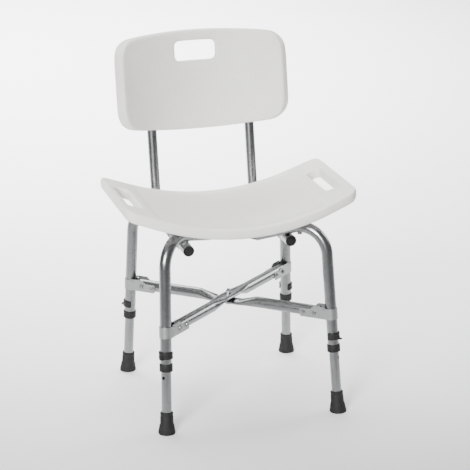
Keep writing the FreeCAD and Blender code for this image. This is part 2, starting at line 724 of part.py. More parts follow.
def on_rim(edge, end):
    """Edge of the upper or lower outline of the seat, not one across a face."""
    start, finish = edge.Vertexes[0].Point, edge.Vertexes[-1].Point
    across = abs(start.x - finish.x) < 0.01 and abs(start.x) < end - 1
    return not is_upright(edge) and not across


def bowed_front(end, rear, inset):
    """Upright block, wider and deeper than the seat, whose front face follows the seat's bow."""
    width, bow = size("seat_half_width"), size("seat_bow")
    radius = (width ** 2 + bow ** 2) / (2 * bow)
    middle = radius - size("seat_half_depth") - bow
    reach = radius - inset
    side = end + size("seat_corner")
    front = middle - math.sqrt(reach ** 2 - side ** 2)
    back = rear + size("seat_corner")
    low, tall = size("seat_low") - 80, 200
    corners = [Vector(-side, front, low), Vector(side, front, low),
               Vector(side, back, low), Vector(-side, back, low)]
    edges = [Part.Arc(corners[0], Vector(0, middle - reach, low), corners[1]).toShape()]
    for start, finish in zip(corners[1:], corners[2:] + corners[:1]):
        edges.append(Part.LineSegment(start, finish).toShape())
    return Part.Face(Part.Wire(edges)).extrude(Vector(0, 0, tall))


def rounded_prism(half_x, half_y, corner, low, high, place):
    """Upright prism with rounded corners, in a placement's axes."""
    box = Part.makeBox(2 * half_x, 2 * half_y, high - low, Vector(-half_x, -half_y, low))
    upright = [e for e in box.Edges if is_upright(e)]
    box = box.makeFillet(corner, upright)
    box.Placement = place.multiply(box.Placement)
    return box


def seat():
    """Hollow dished seat with hand openings, drain holes and channels for the frame tubes."""
    wall = size("shell_wall")
    shell = seat_slab(0.0)
    hollow = seat_slab(wall)
    low, high = size("seat_low") - 80, size("seat_low") + 120
    openings, rings = [], []
    centre_x = size("seat_half_width") - size("grip_inset") - size("grip_width") / 2
    for sign in SIDES.values():
        spot = Placement(Vector(sign * centre_x, 0, 0), Rotation())
        half = (size("grip_width") / 2, size("grip_length") / 2)
        openings.append(rounded_prism(half[0], half[1], size("grip_corner"), low, high, spot))
        rings.append(rounded_prism(half[0] + wall, half[1] + wall, size("grip_corner") + wall,
                                   low, high, spot))
    for x, y in DRAIN_HOLES:
        openings.append(vertical_hole(x, y, size("drain_radius"), low, high))
        rings.append(vertical_hole(x, y, size("drain_radius") + wall, low, high))
    for name, spot in seat_screw_spots().items():
        corner = CORNERS[name]
        tube_top = frame_top_at(corner, size("seat_screw_run")) + size("tube_radius")
        openings.append(vertical_hole(spot.x, spot.y, size("seat_screw_radius") + 0.05,
                                      low, tube_top + size("screw_bite") + 1))
        rings.append(vertical_hole(spot.x, spot.y, size("seat_screw_radius") + 4,
                                   low, tube_top + size("screw_bite") + 4))
    pads = []
    for x, y in strap_screw_spots():
        openings.append(vertical_hole(x, y, size("seat_screw_radius") + 0.05, low,
                                      strap_seat() + size("screw_bite") + 9))
        rings.append(vertical_hole(x, y, size("seat_screw_radius") + 4, low,
                                   strap_seat() + size("screw_bite") + 12))
        half = size("strap_flange") / 2
        pads.append(Part.makeBox(2 * half, size("strap_width"), 3 * size("seat_thick"),
                                 Vector(x - half, y - size("strap_width") / 2, strap_seat())))
    for corner in (CORNERS["front_left"], CORNERS["front_right"]):
        middle = frame_middle(corner)
        openings.append(frame_bar(corner, middle, -size("channel_gap")))
        rings.append(frame_bar(corner, middle, -size("channel_gap") - wall))
    ceiling = seat_slab(wall)
    pads = [pad.cut(ceiling) for pad in pads]
    pads = [max(pad.Solids, key=lambda s: -s.CenterOfMass.z) for pad in pads]
    hollow = hollow.cut(rings)
    whole = shell.fuse(pads).cut([hollow] + openings)
    keep(feature("seat_shell", largest(whole)), "seat")


def largest(shape):
    return max(shape.Solids, key=lambda s: s.Volume)


def strap_screw_spots():
    """Plan points of the eight strap screws."""
    spots = []
    reach = size("tube_radius") + size("sheet_thick") + size("part_gap") + size("strap_flange") / 2
    for sign in SIDES.values():
        for y in (-size("strap_offset"), size("strap_offset")):
            for across in (-reach, reach):
                spots.append((sign * size("socket_half_spread") + across, y))
    return spots


def seat_screws():
    """Four screws from below, through the frame tubes into the seat."""
    screws = []
    for name, spot in seat_screw_spots().items():
        corner = CORNERS[name]
        axis_height = frame_top_at(corner, size("seat_screw_run"))
        low = axis_height - size("tube_radius") - size("screw_saddle")
        shank = cylinder(f"seat_screw_shank_{name}",
                         Placement(Vector(spot.x, spot.y, low - 0.5), Rotation()),
                         "Sizes.seat_screw_radius",
                         "Sizes.tube_radius * 2 + Sizes.screw_saddle + Sizes.screw_bite")
        head = cylinder(f"seat_screw_head_{name}",
                        Placement(Vector(spot.x, spot.y, low - size("bolt_head_height")), Rotation()),
                        "Sizes.bolt_head_radius", "Sizes.bolt_head_height")
        screws.append(fuse(f"seat_screw_{name}", [shank, head]))
    keep(group("seat_screw_group", screws), "seat_screws")


# Sockets and straps -------------------------------------------------------------------------------

def socket_height():
    """Height of the socket axes, just clear of the lower frame tube that crosses over them."""
    corner = CORNERS["front_right"]
    high = leg_point(corner, size("corner_height"))
    reach = math.hypot(high.x, high.y)
    run = size("socket_half_spread") * reach / abs(high.x)
    rise = frame_top_at(corner, run + 1) - frame_top_at(corner, run)
    sideways = abs(high.x) / reach
    share = sideways / math.hypot(sideways, rise)
    return frame_top_at(corner, run) - (2 * size("tube_radius") + size("socket_gap")) / share


def strap_seat():
    """Height of the upper face of the strap flanges, under the seat."""
    inner = (size("socket_half_spread") - size("tube_radius") - size("part_gap") - size("sheet_thick")
             - size("strap_flange"))
    radius = seat_radius()
    rise = radius - math.sqrt(radius ** 2 - inner ** 2)
    return size("seat_low") + rise - size("seat_thick") - size("strap_drop")


def socket_tube(name, sign):
    """Straight socket under the seat, with a hole for the snap button."""
    start = Vector(sign * size("socket_half_spread"), -size("socket_front"), socket_height())
    place = Placement(start, Rotation(Vector(1, 0, 0), -90))
    length = "Sizes.socket_front + Sizes.socket_rear"
    outer = cylinder(f"socket_bar_{name}", place, "Sizes.tube_radius", length)
    bore = cylinder(f"socket_bore_{name}", place, "Sizes.tube_radius - Sizes.tube_wall", length)
    hole = cylinder(f"socket_hole_{name}", Placement(button_spot(sign), DOWN),
                    "Sizes.button_radius + Sizes.pin_clearance", "Sizes.tube_radius * 2")
    keep(cut(f"socket_{name}", outer, fuse(f"socket_tools_{name}", [bore, hole])), f"socket_tube_{name}")


def back_tube_front():
    """Depth of the front end of the back tubes."""
    return size("socket_rear") - size("back_insert")


def button_spot(sign):
    return Vector(sign * size("socket_half_spread"), back_tube_front() + size("button_setback"),
                  socket_height())


def socket_plug(name, sign):
    """Black plug in the front end of a socket."""
    place = Placement(Vector(sign * size("socket_half_spread"), -size("socket_front"),
                             socket_height()), Rotation(Vector(1, 0, 0), 90))
    inner = "Sizes.tube_radius - Sizes.tube_wall - 0.03"
    body = lathe(f"plug_{name}", [
        ("0", "-Sizes.plug_depth"),
        (inner, "-Sizes.plug_depth"),
        (inner, "-Sizes.plug_recess - 1"),
        (inner + " - 1", "-Sizes.plug_recess"),
        ("0", "-Sizes.plug_recess"),
    ], place)
    keep(body, f"socket_plug_{name}")


def socket_straps(name, sign):
    """Two sheet straps that hang one socket from the seat."""
    straps = []
    gap = size("tube_radius") + size("part_gap")
    thick = size("sheet_thick")
    x = sign * size("socket_half_spread")
    for word, y in (("front", -size("strap_offset")), ("rear", size("strap_offset"))):
        tag = f"{name}_{word}"
        start = Vector(x, y - size("strap_width") / 2, socket_height())
        lay = Rotation(Vector(1, 0, 0), -90)
        half = make("Part::Cylinder", f"strap_round_{tag}", Placement(start, lay),
                    Radius="Sizes.tube_radius + Sizes.part_gap + Sizes.sheet_thick",
                    Height="Sizes.strap_width", Angle="180")
        pieces = [half]
        rise = str(round(strap_seat() - socket_height(), 4))
        for sense in (-1, 1):
            left = x + sense * gap if sense > 0 else x - gap - thick
            pieces.append(make("Part::Box", f"strap_side_{tag}_{sense + 1}",
                               Placement(Vector(left, start.y, start.z - 0.01), Rotation()),
                               Length="Sizes.sheet_thick", Width="Sizes.strap_width", Height=rise))
            foot = x + gap if sense > 0 else x - gap - thick - size("strap_flange")
            pieces.append(make("Part::Box", f"strap_flange_{tag}_{sense + 1}",
                               Placement(Vector(foot, start.y, strap_seat() - thick - 0.05), Rotation()),
                               Length="Sizes.strap_flange + Sizes.sheet_thick", Width="Sizes.strap_width",
                               Height="Sizes.sheet_thick"))
        tools = [cylinder(f"strap_bore_{tag}", Placement(start, lay), "Sizes.tube_radius + Sizes.part_gap",
                          "Sizes.strap_width")]
        for spot_x, spot_y in strap_screw_spots():
            if spot_y == y and spot_x * x > 0:
                tools.append(cylinder(f"strap_hole_{tag}_{int(spot_x)}".replace("-", "m"),
                                      Placement(Vector(spot_x, spot_y, strap_seat() - 10), Rotation()),
                                      "Sizes.seat_screw_radius + Sizes.pin_clearance", "20"))
        straps.append(cut(f"strap_{tag}", fuse(f"strap_blank_{tag}", pieces),
                          fuse(f"strap_tools_{tag}", tools)))
    keep(group(f"strap_group_{name}", straps), f"socket_straps_{name}")


def strap_screws():
    """Eight screws through the strap flanges into the seat."""
    screws = []
    for index, (x, y) in enumerate(strap_screw_spots()):
        low = strap_seat() - size("sheet_thick") - 0.1
        shank = cylinder(f"strap_screw_shank_{index}", Placement(Vector(x, y, low - 0.5), Rotation()),
                         "Sizes.seat_screw_radius", "Sizes.sheet_thick + Sizes.screw_bite + 5")
        head = cylinder(f"strap_screw_head_{index}",
                        Placement(Vector(x, y, low - size("bolt_head_height")), Rotation()),
                        "Sizes.bolt_head_radius - 0.6", "Sizes.bolt_head_height")
        screws.append(fuse(f"strap_screw_{index}", [shank, head]))
    keep(group("strap_screw_group", screws), "strap_screws")


# Back ---------------------------------------------------------------------------------------------

def lean_direction():
    angle = math.radians(size("back_lean"))
    return Vector(0, math.sin(angle), math.cos(angle))


def panel_frame():
    """Placement of the back panel: +Z up the lean, +X to the side, origin at its lower edge."""
    corner = Vector(0, size("back_corner_depth"), socket_height())
    return frame_at(corner + lean_direction() * size("panel_base"), lean_direction(), Vector(1, 0, 0))


def back_tube_points(sign):
    """Corner points of a back tube's centre line."""
    x = sign * size("socket_half_spread")
    corner = Vector(x, size("back_corner_depth"), socket_height())
    front = Vector(x, back_tube_front(), socket_height())
    top = corner + lean_direction() * (size("panel_base") + size("tube_in_panel"))
    return [front, corner, top]


def back_tube(name, sign):
    """L-shaped back tube with holes for the snap button and the panel screw."""
    points = back_tube_points(sign)
    bend = size("back_bend_radius")
    tube = swept(points, bend, size("slide_tube_radius"))
    tools = [swept(points, bend, size("slide_tube_radius") - size("tube_wall"))]
    tools.append(Part.makeCylinder(size("button_radius") + size("pin_clearance"),
                                   size("tube_radius"), button_spot(sign), Vector(0, 0, -1)))
    screw = panel_screw_place(sign)
    tools.append(Part.makeCylinder(size("seat_screw_radius") + size("pin_clearance"),
                                   size("panel_thick") / 2, screw.Base,
                                   screw.Rotation.multVec(Vector(0, 0, 1))))
    keep(feature(f"back_tube_{name}", tube.cut(tools)), f"back_tube_{name}")


def snap_button(name, sign):
    """Snap button on its leaf spring inside the back tube."""
    spot = button_spot(sign)
    inside = size("slide_tube_radius") - size("tube_wall")
    length = size("tube_radius") + size("button_proud") - inside + 3
    pin = cylinder(f"button_pin_{name}", Placement(spot - Vector(0, 0, inside - 3), DOWN),
                   "Sizes.button_radius", str(round(length, 3)))
    pin.setExpression("Height", "Sizes.tube_radius + Sizes.button_proud - Sizes.slide_tube_radius"
                                " + Sizes.tube_wall + 3")
    leaf = make("Part::Box", f"button_leaf_{name}",
                Placement(spot + Vector(-3.5, -6, -inside + 1.4), Rotation()),
                Length="7", Width="34", Height="1.6")
    keep(fuse(f"button_{name}", [pin, leaf]), f"snap_button_{name}")


def panel_band(inset):
    """Block between the crowned top and bottom edges of the panel, wider than the panel."""
    half = size("panel_half_width")
    crown = size("panel_crown")
    curve = (half ** 2 + crown ** 2) / (2 * crown)
    reach = half + size("panel_thick")
    drop = curve - math.sqrt(curve ** 2 - reach ** 2)
    top = size("panel_height") + crown - inset
    low = inset - crown
    corners = [Vector(-reach, 0, low + drop), Vector(reach, 0, low + drop),
               Vector(reach, 0, top - drop), Vector(-reach, 0, top - drop)]
    edges = [
        Part.Arc(corners[0], Vector(0, 0, low), corners[1]).toShape(),
        Part.LineSegment(corners[1], corners[2]).toShape(),
        Part.Arc(corners[2], Vector(0, 0, top), corners[3]).toShape(),
        Part.LineSegment(corners[3], corners[0]).toShape(),
    ]
    depth = 4 * size("panel_thick") + 2 * size("panel_bow")
    face = Part.Face(Part.Wire(edges))
    face.translate(Vector(0, -depth / 2, 0))
    return face.extrude(Vector(0, depth, 0))


def panel_radius():
    """Radius of the middle surface of the bowed panel."""
    half, bow = size("panel_half_width"), size("panel_bow")
    return (half ** 2 + bow ** 2) / (2 * bow)


def panel_slab(inset):
    """Bowed slab of the back panel in its own axes; a positive inset gives the hollow inside it."""
    radius = panel_radius()
    tube_bow = radius - math.sqrt(radius ** 2 - size("socket_half_spread") ** 2)
    centre = Vector(0, tube_bow - radius, -size("panel_height") / 2)
    thick = size("panel_thick") / 2 - inset
    half_turn = math.degrees(math.asin(size("panel_half_width") / radius) - inset / radius)
    height = 2 * size("panel_height")
    sector = [Part.makeCylinder(r, height, centre, Vector(0, 0, 1), 2 * half_turn)
              for r in (radius + thick, radius - thick)]
    ring = sector[0].cut(sector[1])
    ring.rotate(centre, Vector(0, 0, 1), 90 - half_turn)
    slab = largest(ring.common(panel_band(inset)))
    across = [e for e in slab.Edges if abs(away(e, 0.0, centre) - away(e, 1.0, centre)) > thick]
    slab = slab.makeFillet(size("panel_corner") - inset, across)
    rim = [e for e in slab.Edges if on_panel_face(e, centre, radius, thick)]
    return slab.makeFillet(size("panel_edge") - inset * 0.8, rim)


def away(edge, share, centre):
    """Distance of a point of an edge from the upright axis through a centre."""
    spot = edge.valueAt(edge.FirstParameter + share * (edge.LastParameter - edge.FirstParameter))
    return math.hypot(spot.x - centre.x, spot.y - centre.y)


def on_panel_face(edge, centre, radius, thick):
    """Edge of the front or rear outline of the panel."""
    for share in (0.2, 0.5, 0.8):
        reach = away(edge, share, centre)
        if min(abs(reach - radius - thick), abs(reach - radius + thick)) > 0.05:
            return False
    return True


def panel_screw_place(sign):
    """Placement at the floor of a panel screw's recess: +Z into the panel from behind."""
    frame = panel_frame()
    behind = Vector(sign * size("socket_half_spread"),
                    size("panel_thick") / 2 - size("panel_screw_recess"), size("panel_screw_height"))
    return Placement(frame.multVec(behind),
                     frame.Rotation.multiply(Rotation(Vector(1, 0, 0), 90)))


def back_panel():
    """Hollow back panel with its hand hole and the two holes that the tubes enter."""
    wall = size("shell_wall")
    shell = panel_slab(0.0)
    hollow = panel_slab(wall)
    half = size("handle_half_width")
    height = size("handle_height")
    middle = size("panel_height") - size("handle_top") - height / 2
    lay = Placement(Vector(0, 0, middle), Rotation(Vector(1, 0, 0), 90))
    openings = [rounded_prism(half, height / 2, size("handle_corner"), -60, 60, lay)]
    rings = [rounded_prism(half + wall, height / 2 + wall, size("handle_corner") + wall, -60, 60, lay)]
    tube = size("slide_tube_radius")
    for sign in SIDES.values():
        start = Vector(sign * size("socket_half_spread"), 0, -20)
        openings.append(Part.makeCylinder(tube + size("part_gap"), size("tube_in_panel") + 21, start))
        rings.append(Part.makeCylinder(tube + 2.4, size("tube_in_panel") + 24, start))
        screw = Vector(sign * size("socket_half_spread"), 0, size("panel_screw_height"))
        openings.append(Part.makeCylinder(size("seat_screw_radius") + 0.05, 40, screw, Vector(0, 1, 0)))
        floor = screw + Vector(0, size("panel_thick") / 2 - size("panel_screw_recess"), 0)
        recess = size("bolt_head_radius") + 0.4
        openings.append(Part.makeCylinder(recess, 20, floor, Vector(0, 1, 0)))
        rings.append(Part.makeCylinder(recess + 2, 40, screw, Vector(0, 1, 0)))
    whole = largest(shell.cut([hollow.cut(rings)] + openings))
    item = feature("panel_shell", whole)
    item.Placement = panel_frame()
    keep(item, "back_panel")


def panel_screws():
    """Two screws from behind that hold the panel on its tubes."""
    screws = []
    for name, sign in SIDES.items():
        place = panel_screw_place(sign)
        head = cylinder(f"panel_screw_head_{name}", shifted(place, 0, 0, -size("bolt_head_height") - 0.02),
                        "Sizes.bolt_head_radius", "Sizes.bolt_head_height")
        shank = cylinder(f"panel_screw_shank_{name}", shifted(place, 0, 0, -0.5), "Sizes.seat_screw_radius",
                         "Sizes.panel_thick / 2 - 2")
        screws.append(fuse(f"panel_screw_{name}", [head, shank]))
    keep(group("panel_screw_group", screws), "panel_screws")


# Assembly -----------------------------------------------------------------------------------------

def build():
    leg_frame_tube("leg_frame_upper", CORNERS["front_left"])
    leg_frame_tube("leg_frame_lower", CORNERS["front_right"])
    brace_tube("brace_upper", CORNERS["front_left"])
    brace_tube("brace_lower", CORNERS["front_right"])
    for name, corner in CORNERS.items():
        leg_extension(name, corner)
        extension_glide(name, corner)
        foot_disc(name, corner)
        foot_tip(name, corner)
        leg_collar(name, corner)
        leg_clip(name, corner)
        brace_bracket(name, corner)
    bracket_bolts()
    crossing_bolt("frame", size("crossing_height"))
    crossing_bolt("brace", size("brace_height"))
    seat()
    seat_screws()
    for name, sign in SIDES.items():
        socket_tube(name, sign)
        socket_plug(name, sign)
        socket_straps(name, sign)
        back_tube(name, sign)
        snap_button(name, sign)
    strap_screws()
    back_panel()
    panel_screws()


def centre_on_footprint():
    """Move every sub-part so that the origin is the middle of the whole chair's footprint."""
    box = FreeCAD.BoundBox()
    for item in subparts:
        box.add(item.Shape.optimalBoundingBox(False))
    shift = Placement(Vector(-(box.XMin + box.XMax) / 2, -(box.YMin + box.YMax) / 2, 0), Rotation())
    for item in subparts:
        item.Placement = shift.multiply(item.Placement)
    return box


def check_objects():
    for item in doc.Objects:
        if "Invalid" in item.State or "Error" in item.State:
            raise RuntimeError(f"{item.Name} failed: {item.State}")
    for item in subparts:
        if item.Shape.isNull() or not item.Shape.isValid():
            raise RuntimeError(f"{item.Label} has no valid shape")


def export():
    os.makedirs("parts", exist_ok=True)
    for item in subparts:
        item.Shape.exportStep(f"parts/{item.Label}.step")
        print(item.Label, len(item.Shape.Solids), round(item.Shape.Volume))


build()
doc.recompute()
box = centre_on_footprint()
doc.recompute()
check_objects()
export()
print("box before centring", box)
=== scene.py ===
"""Looks of a height-adjustable shower chair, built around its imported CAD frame.

The front of the chair faces -Y and left is -X.  Sizes are in millimetres and places in metres.
"""

import json
import logging
import math
from dataclasses import dataclass
from enum import Enum
from typing import Callable, Iterable, Sequence

import bmesh
import bpy
from mathutils import Matrix, Vector


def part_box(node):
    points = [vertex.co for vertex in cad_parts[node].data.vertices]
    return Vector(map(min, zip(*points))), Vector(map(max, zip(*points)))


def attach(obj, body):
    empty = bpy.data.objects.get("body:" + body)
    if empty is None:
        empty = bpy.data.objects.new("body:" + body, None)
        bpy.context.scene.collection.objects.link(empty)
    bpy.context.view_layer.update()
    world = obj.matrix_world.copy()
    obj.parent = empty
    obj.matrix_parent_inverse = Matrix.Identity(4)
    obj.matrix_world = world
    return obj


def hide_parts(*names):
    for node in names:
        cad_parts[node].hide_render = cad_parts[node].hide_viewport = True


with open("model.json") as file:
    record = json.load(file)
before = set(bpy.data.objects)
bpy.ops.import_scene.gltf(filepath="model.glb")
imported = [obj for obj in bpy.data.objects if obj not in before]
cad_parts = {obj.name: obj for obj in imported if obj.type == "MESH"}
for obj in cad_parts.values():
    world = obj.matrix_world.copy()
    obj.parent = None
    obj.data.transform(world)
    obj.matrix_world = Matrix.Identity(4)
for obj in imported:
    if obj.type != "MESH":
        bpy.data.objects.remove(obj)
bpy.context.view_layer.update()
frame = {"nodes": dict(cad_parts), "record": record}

log = logging.getLogger("shower_chair")
MM = 0.001
SENSOR_WIDTH = 36.0
ON_AXIS = 1e-6
TINY = 0.001
TOLERANCE = 0.01
ROLL = 0.17
CROSSINGS = (("frame", 393.5, 4.2, 1.0), ("brace", 228.0, 6.0, 4.0))
Pair = tuple[bpy.types.Object, bpy.types.Object]


class Slot(Enum):
    """Material slots of the record."""

    SHELL = "white_shell"
    SHEET = "sheet_aluminium"
    STEEL = "zinc_steel"
    RUBBER = "black_rubber"
    NYLON = "black_plastic"


# Shader expressions -------------------------------------------------------------------------------


class Link:
    """Value or vector output of a node, with operators that add Math nodes."""

    def __init__(self, tree: "Dressing", socket: bpy.types.NodeSocket) -> None:
        """Wrap one output socket."""
        self.tree = tree
        self.socket = socket

    def _math(self, operation: str, first: object, second: object) -> "Link":
        """Add a Math node for one operation."""
        node = self.tree.node("ShaderNodeMath", {"operation": operation}, {0: first, 1: second})
        return self.tree.out(node, 0)

    def __add__(self, other: object) -> "Link":
        """Sum."""
        return self._math("ADD", self, other)

    def __radd__(self, other: object) -> "Link":
        """Reflected sum."""
        return self._math("ADD", other, self)

    def __sub__(self, other: object) -> "Link":
        """Difference."""
        return self._math("SUBTRACT", self, other)

    def __rsub__(self, other: object) -> "Link":
        """Reflected difference."""
        return self._math("SUBTRACT", other, self)

    def __mul__(self, other: object) -> "Link":
        """Product."""
        return self._math("MULTIPLY", self, other)

    def __rmul__(self, other: object) -> "Link":
        """Reflected product."""
        return self._math("MULTIPLY", other, self)


class Dressing:
    """Node tree of one material."""

    def __init__(self, name: str) -> None:
        """Start an empty tree with a Principled shader.

        Args:
            name: name of the material.
        """
        self.material = bpy.data.materials.new(name)
        self.material.use_nodes = True
        self.tree = self.material.node_tree
        self.tree.nodes.clear()
        self.shader = self.tree.nodes.new("ShaderNodeBsdfPrincipled")
        output = self.tree.nodes.new("ShaderNodeOutputMaterial")
        self.tree.links.new(self.shader.outputs[0], output.inputs[0])

    def node(self, kind: str, settings: dict[str, object], values: dict[object, object]) -> bpy.types.Node:
        """Add any node.

        Args:
            kind: the node's type.
            settings: its properties, set first; "stops" are the stops of a colour ramp.
            values: numbers, vectors or Links for its sockets, by name or place.

        Returns:
            The new node.
        """
        made = self.tree.nodes.new(kind)
        for key, setting in settings.items():
            if key == "stops":
                self._stops(made.color_ramp, setting)
            else:
                setattr(made, key, setting)
        for key, value in values.items():
            self.feed(made.inputs[key], value)
        return made

    @staticmethod
    def _stops(ramp: bpy.types.ColorRamp, stops: Sequence[tuple[float, float]]) -> None:
        """Set the stops of a grey ramp.

        Args:
            ramp: the ramp.
            stops: place and grey of each stop.
        """
        while len(ramp.elements) < len(stops):
            ramp.elements.new(1.0)
        for element, (place, grey) in zip(ramp.elements, stops):
            element.position = place
            element.color = (grey, grey, grey, 1.0)

    def feed(self, socket: bpy.types.NodeSocket, value: object) -> None:
        """Link or set one input socket.

        Args:
            socket: the input.
            value: a Link or a constant.
        """
        if isinstance(value, Link):
            self.tree.links.new(value.socket, socket)
        else:
            socket.default_value = value

    def out(self, node: bpy.types.Node, key: object) -> Link:
        """Output of a node as a Link."""
        return Link(self, node.outputs[key])

    def place(self) -> Link:
        """Coordinates of the piece, in metres."""
        return self.out(self.node("ShaderNodeTexCoord", {}, {}), "Object")

    def stretched(self, place: Link, factors: tuple[float, float, float]) -> Link:
        """Coordinates multiplied axis by axis."""
        node = self.node("ShaderNodeVectorMath", {"operation": "MULTIPLY"}, {0: place, 1: factors})
        return self.out(node, 0)

    def noise(self, place: Link, pitch_mm: float, detail: float = 2.0, rough: float = 0.5) -> Link:
        """Noise whose features are about a pitch in millimetres across.

        Args:
            place: coordinates.
            pitch_mm: size of a feature.
            detail: number of octaves.
            rough: share of the finer octaves.

        Returns:
            Value from 0 to 1.
        """
        settings = {"noise_dimensions": "3D"}
        values = {"Vector": place, "Scale": 1.0 / (pitch_mm * MM), "Detail": detail, "Roughness": rough}
        return self.out(self.node("ShaderNodeTexNoise", settings, values), 0)

    def cells(self, place: Link, pitch_mm: float) -> Link:
        """Distance to the edges of Voronoi cells of a pitch in millimetres.

        Args:
            place: coordinates.
            pitch_mm: size of a cell.

        Returns:
            Distance to the nearest cell edge.
        """
        settings = {"feature": "DISTANCE_TO_EDGE"}
        values = {"Vector": place, "Scale": 1.0 / (pitch_mm * MM)}
        return self.out(self.node("ShaderNodeTexVoronoi", settings, values), "Distance")

    def ramp(self, value: Link, *stops: tuple[float, float]) -> Link:
        """Value passed through a grey ramp."""
        return self.out(self.node("ShaderNodeValToRGB", {"stops": stops}, {0: value}), 0)

    def mixed(self, share: object, first: Sequence[float], second: Sequence[float]) -> Link:
        """Colour between two colours.

        Args:
            share: share of the second colour.
            first: first colour.
            second: second colour.

        Returns:
            The colour.
        """
        settings = {"data_type": "RGBA"}
        node = self.node("ShaderNodeMix", settings, {0: share, 6: (*first, 1.0), 7: (*second, 1.0)})
        return self.out(node, 2)

    def bump(self, height: Link, depth_mm: float) -> Link:
        """Normal bent by a height."""
        values = {"Strength": 1.0, "Distance": depth_mm * MM, "Height": height}
        return self.out(self.node("ShaderNodeBump", {}, values), 0)

    def surface(self, **sockets: object) -> bpy.types.Material:
        """Feed the Principled shader by socket name, spaces as underscores.

        Args:
            sockets: values of the shader's sockets.

        Returns:
            The finished material.
        """
        for name, value in sockets.items():
            self.feed(self.shader.inputs[name.replace("_", " ")], value)
        return self.material


def knoll(tree: Dressing, place: Link, pitch_mm: float) -> Link:
    """Raised pebbles with fine valleys between them, from warped cells.

    Args:
        tree: the material's tree.
        place: coordinates.
        pitch_mm: size of a pebble.

    Returns:
        Height from 0 in a valley to 1 on a pebble.
    """
    drift = tree.noise(place, pitch_mm * 3.0, 2.0)
    shift = tree.out(tree.node("ShaderNodeCombineXYZ", {}, {0: drift, 1: drift, 2: drift}), 0)
    moved = tree.out(tree.node("ShaderNodeVectorMath", {"operation": "MULTIPLY_ADD"},
                               {0: shift, 1: (pitch_mm * MM,) * 3, 2: place}), 0)
    edge = tree.cells(moved, pitch_mm)
    return tree.ramp(edge, (0.0, 0.0), (0.16, 0.75), (0.45, 1.0))


@dataclass(frozen=True)
class MouldedShell:
    """Blow-moulded white polyethylene with a pebble grain, its valleys painted darker as painted shade."""

    name: str
    colour: tuple[float, float, float] = (0.84, 0.83, 0.79)
    grain_mm: float = 2.4
    grain_depth: float = 0.16
    fine_depth: float = 0.05

    def make(self) -> bpy.types.Material:
        """Build the material.

        Returns:
            The material.
        """
        tree = Dressing(self.name)
        place = tree.place()
        pebble = knoll(tree, place, self.grain_mm)
        fine = tree.noise(place, self.grain_mm * 0.22, 3.0)
        cloud = tree.noise(place, 70.0, 3.0)
        # Darker colour for the random cloud tone and for the painted shade in the grain valleys.
        tone_and_valley_shade = tuple(c * 0.80 for c in self.colour)
        # The pebble valleys painted darker: painted shade in the grain valleys, on top of the bump.
        groove = tree.ramp(pebble, (0.10, self.grain_depth * 1.4), (0.55, 0.0))
        colour = tree.mixed(tree.ramp(cloud, (0.3, 0.22), (0.7, 0.0)) + groove, self.colour, tone_and_valley_shade)
        height = pebble * (self.grain_depth / (self.grain_depth + self.fine_depth)) + fine * 0.25
        rough = 0.43 + tree.noise(place, 25.0) * 0.10 - pebble * 0.05
        return tree.surface(
            Base_Color=colour, Roughness=rough, IOR=1.5,
            Normal=tree.bump(height, self.grain_depth + self.fine_depth),
            Subsurface_Weight=0.06, Subsurface_Radius=(0.010, 0.009, 0.008), Subsurface_Scale=0.5,
        )


@dataclass(frozen=True)
class AnodisedTube:
    """Satin anodised tube: soft metal with faint drawing marks and handling wear."""

    name: str
    colour: tuple[float, float, float] = (0.235, 0.24, 0.245)
    roughness: float = 0.25

    def make(self) -> bpy.types.Material:
        """Build the material.

        Returns:
            The material.
        """
        tree = Dressing(self.name)
        place = tree.place()
        cloud = tree.noise(place, 45.0, 4.0, 0.6)
        drawn = tree.noise(tree.stretched(place, (1.0, 1.0, 0.06)), 0.9, 3.0, 0.6)
        speck = tree.ramp(tree.noise(place, 1.1, 2.0, 0.7), (0.60, 0.0), (0.74, 1.0))
        dull = tuple(c * 0.93 for c in self.colour)
        colour = tree.mixed(cloud * 0.6 + speck * 0.08, self.colour, dull)
        rough = self.roughness - 0.04 + cloud * 0.08 + drawn * 0.05 + speck * 0.04
        return tree.surface(Base_Color=colour, Roughness=rough, Metallic=1.0,
                            Normal=tree.bump(drawn, 0.012))


@dataclass(frozen=True)
class StampedSheet:
    """Stamped and tumbled aluminium sheet."""

    name: str
    colour: tuple[float, float, float] = (0.38, 0.385, 0.385)

    def make(self) -> bpy.types.Material:
        """Build the material.

        Returns:
            The material.
        """
        tree = Dressing(self.name)
        place = tree.place()
        mottle = tree.noise(place, 2.2, 4.0, 0.65)
        cloud = tree.noise(place, 14.0, 2.0)
        dull = tuple(c * 0.84 for c in self.colour)
        colour = tree.mixed(tree.ramp(mottle, (0.35, 0.0), (0.68, 1.0)), self.colour, dull)
        rough = 0.36 + mottle * 0.16 + cloud * 0.06
        return tree.surface(Base_Color=colour, Roughness=rough, Metallic=1.0,
                            Normal=tree.bump(mottle, 0.05))


@dataclass(frozen=True)
class PlatedSteel:
    """Bright zinc plated fastener."""

    name: str
    colour: tuple[float, float, float] = (0.33, 0.335, 0.34)

    def make(self) -> bpy.types.Material:
        """Build the material.

        Returns:
            The material.
        """
        tree = Dressing(self.name)
        place = tree.place()
        mottle = tree.noise(place, 1.4, 3.0, 0.6)
        colour = tree.mixed(mottle, self.colour, tuple(c * 0.8 for c in self.colour))
        return tree.surface(Base_Color=colour, Roughness=0.24 + mottle * 0.16, Metallic=1.0,
                            Normal=tree.bump(mottle, 0.015))


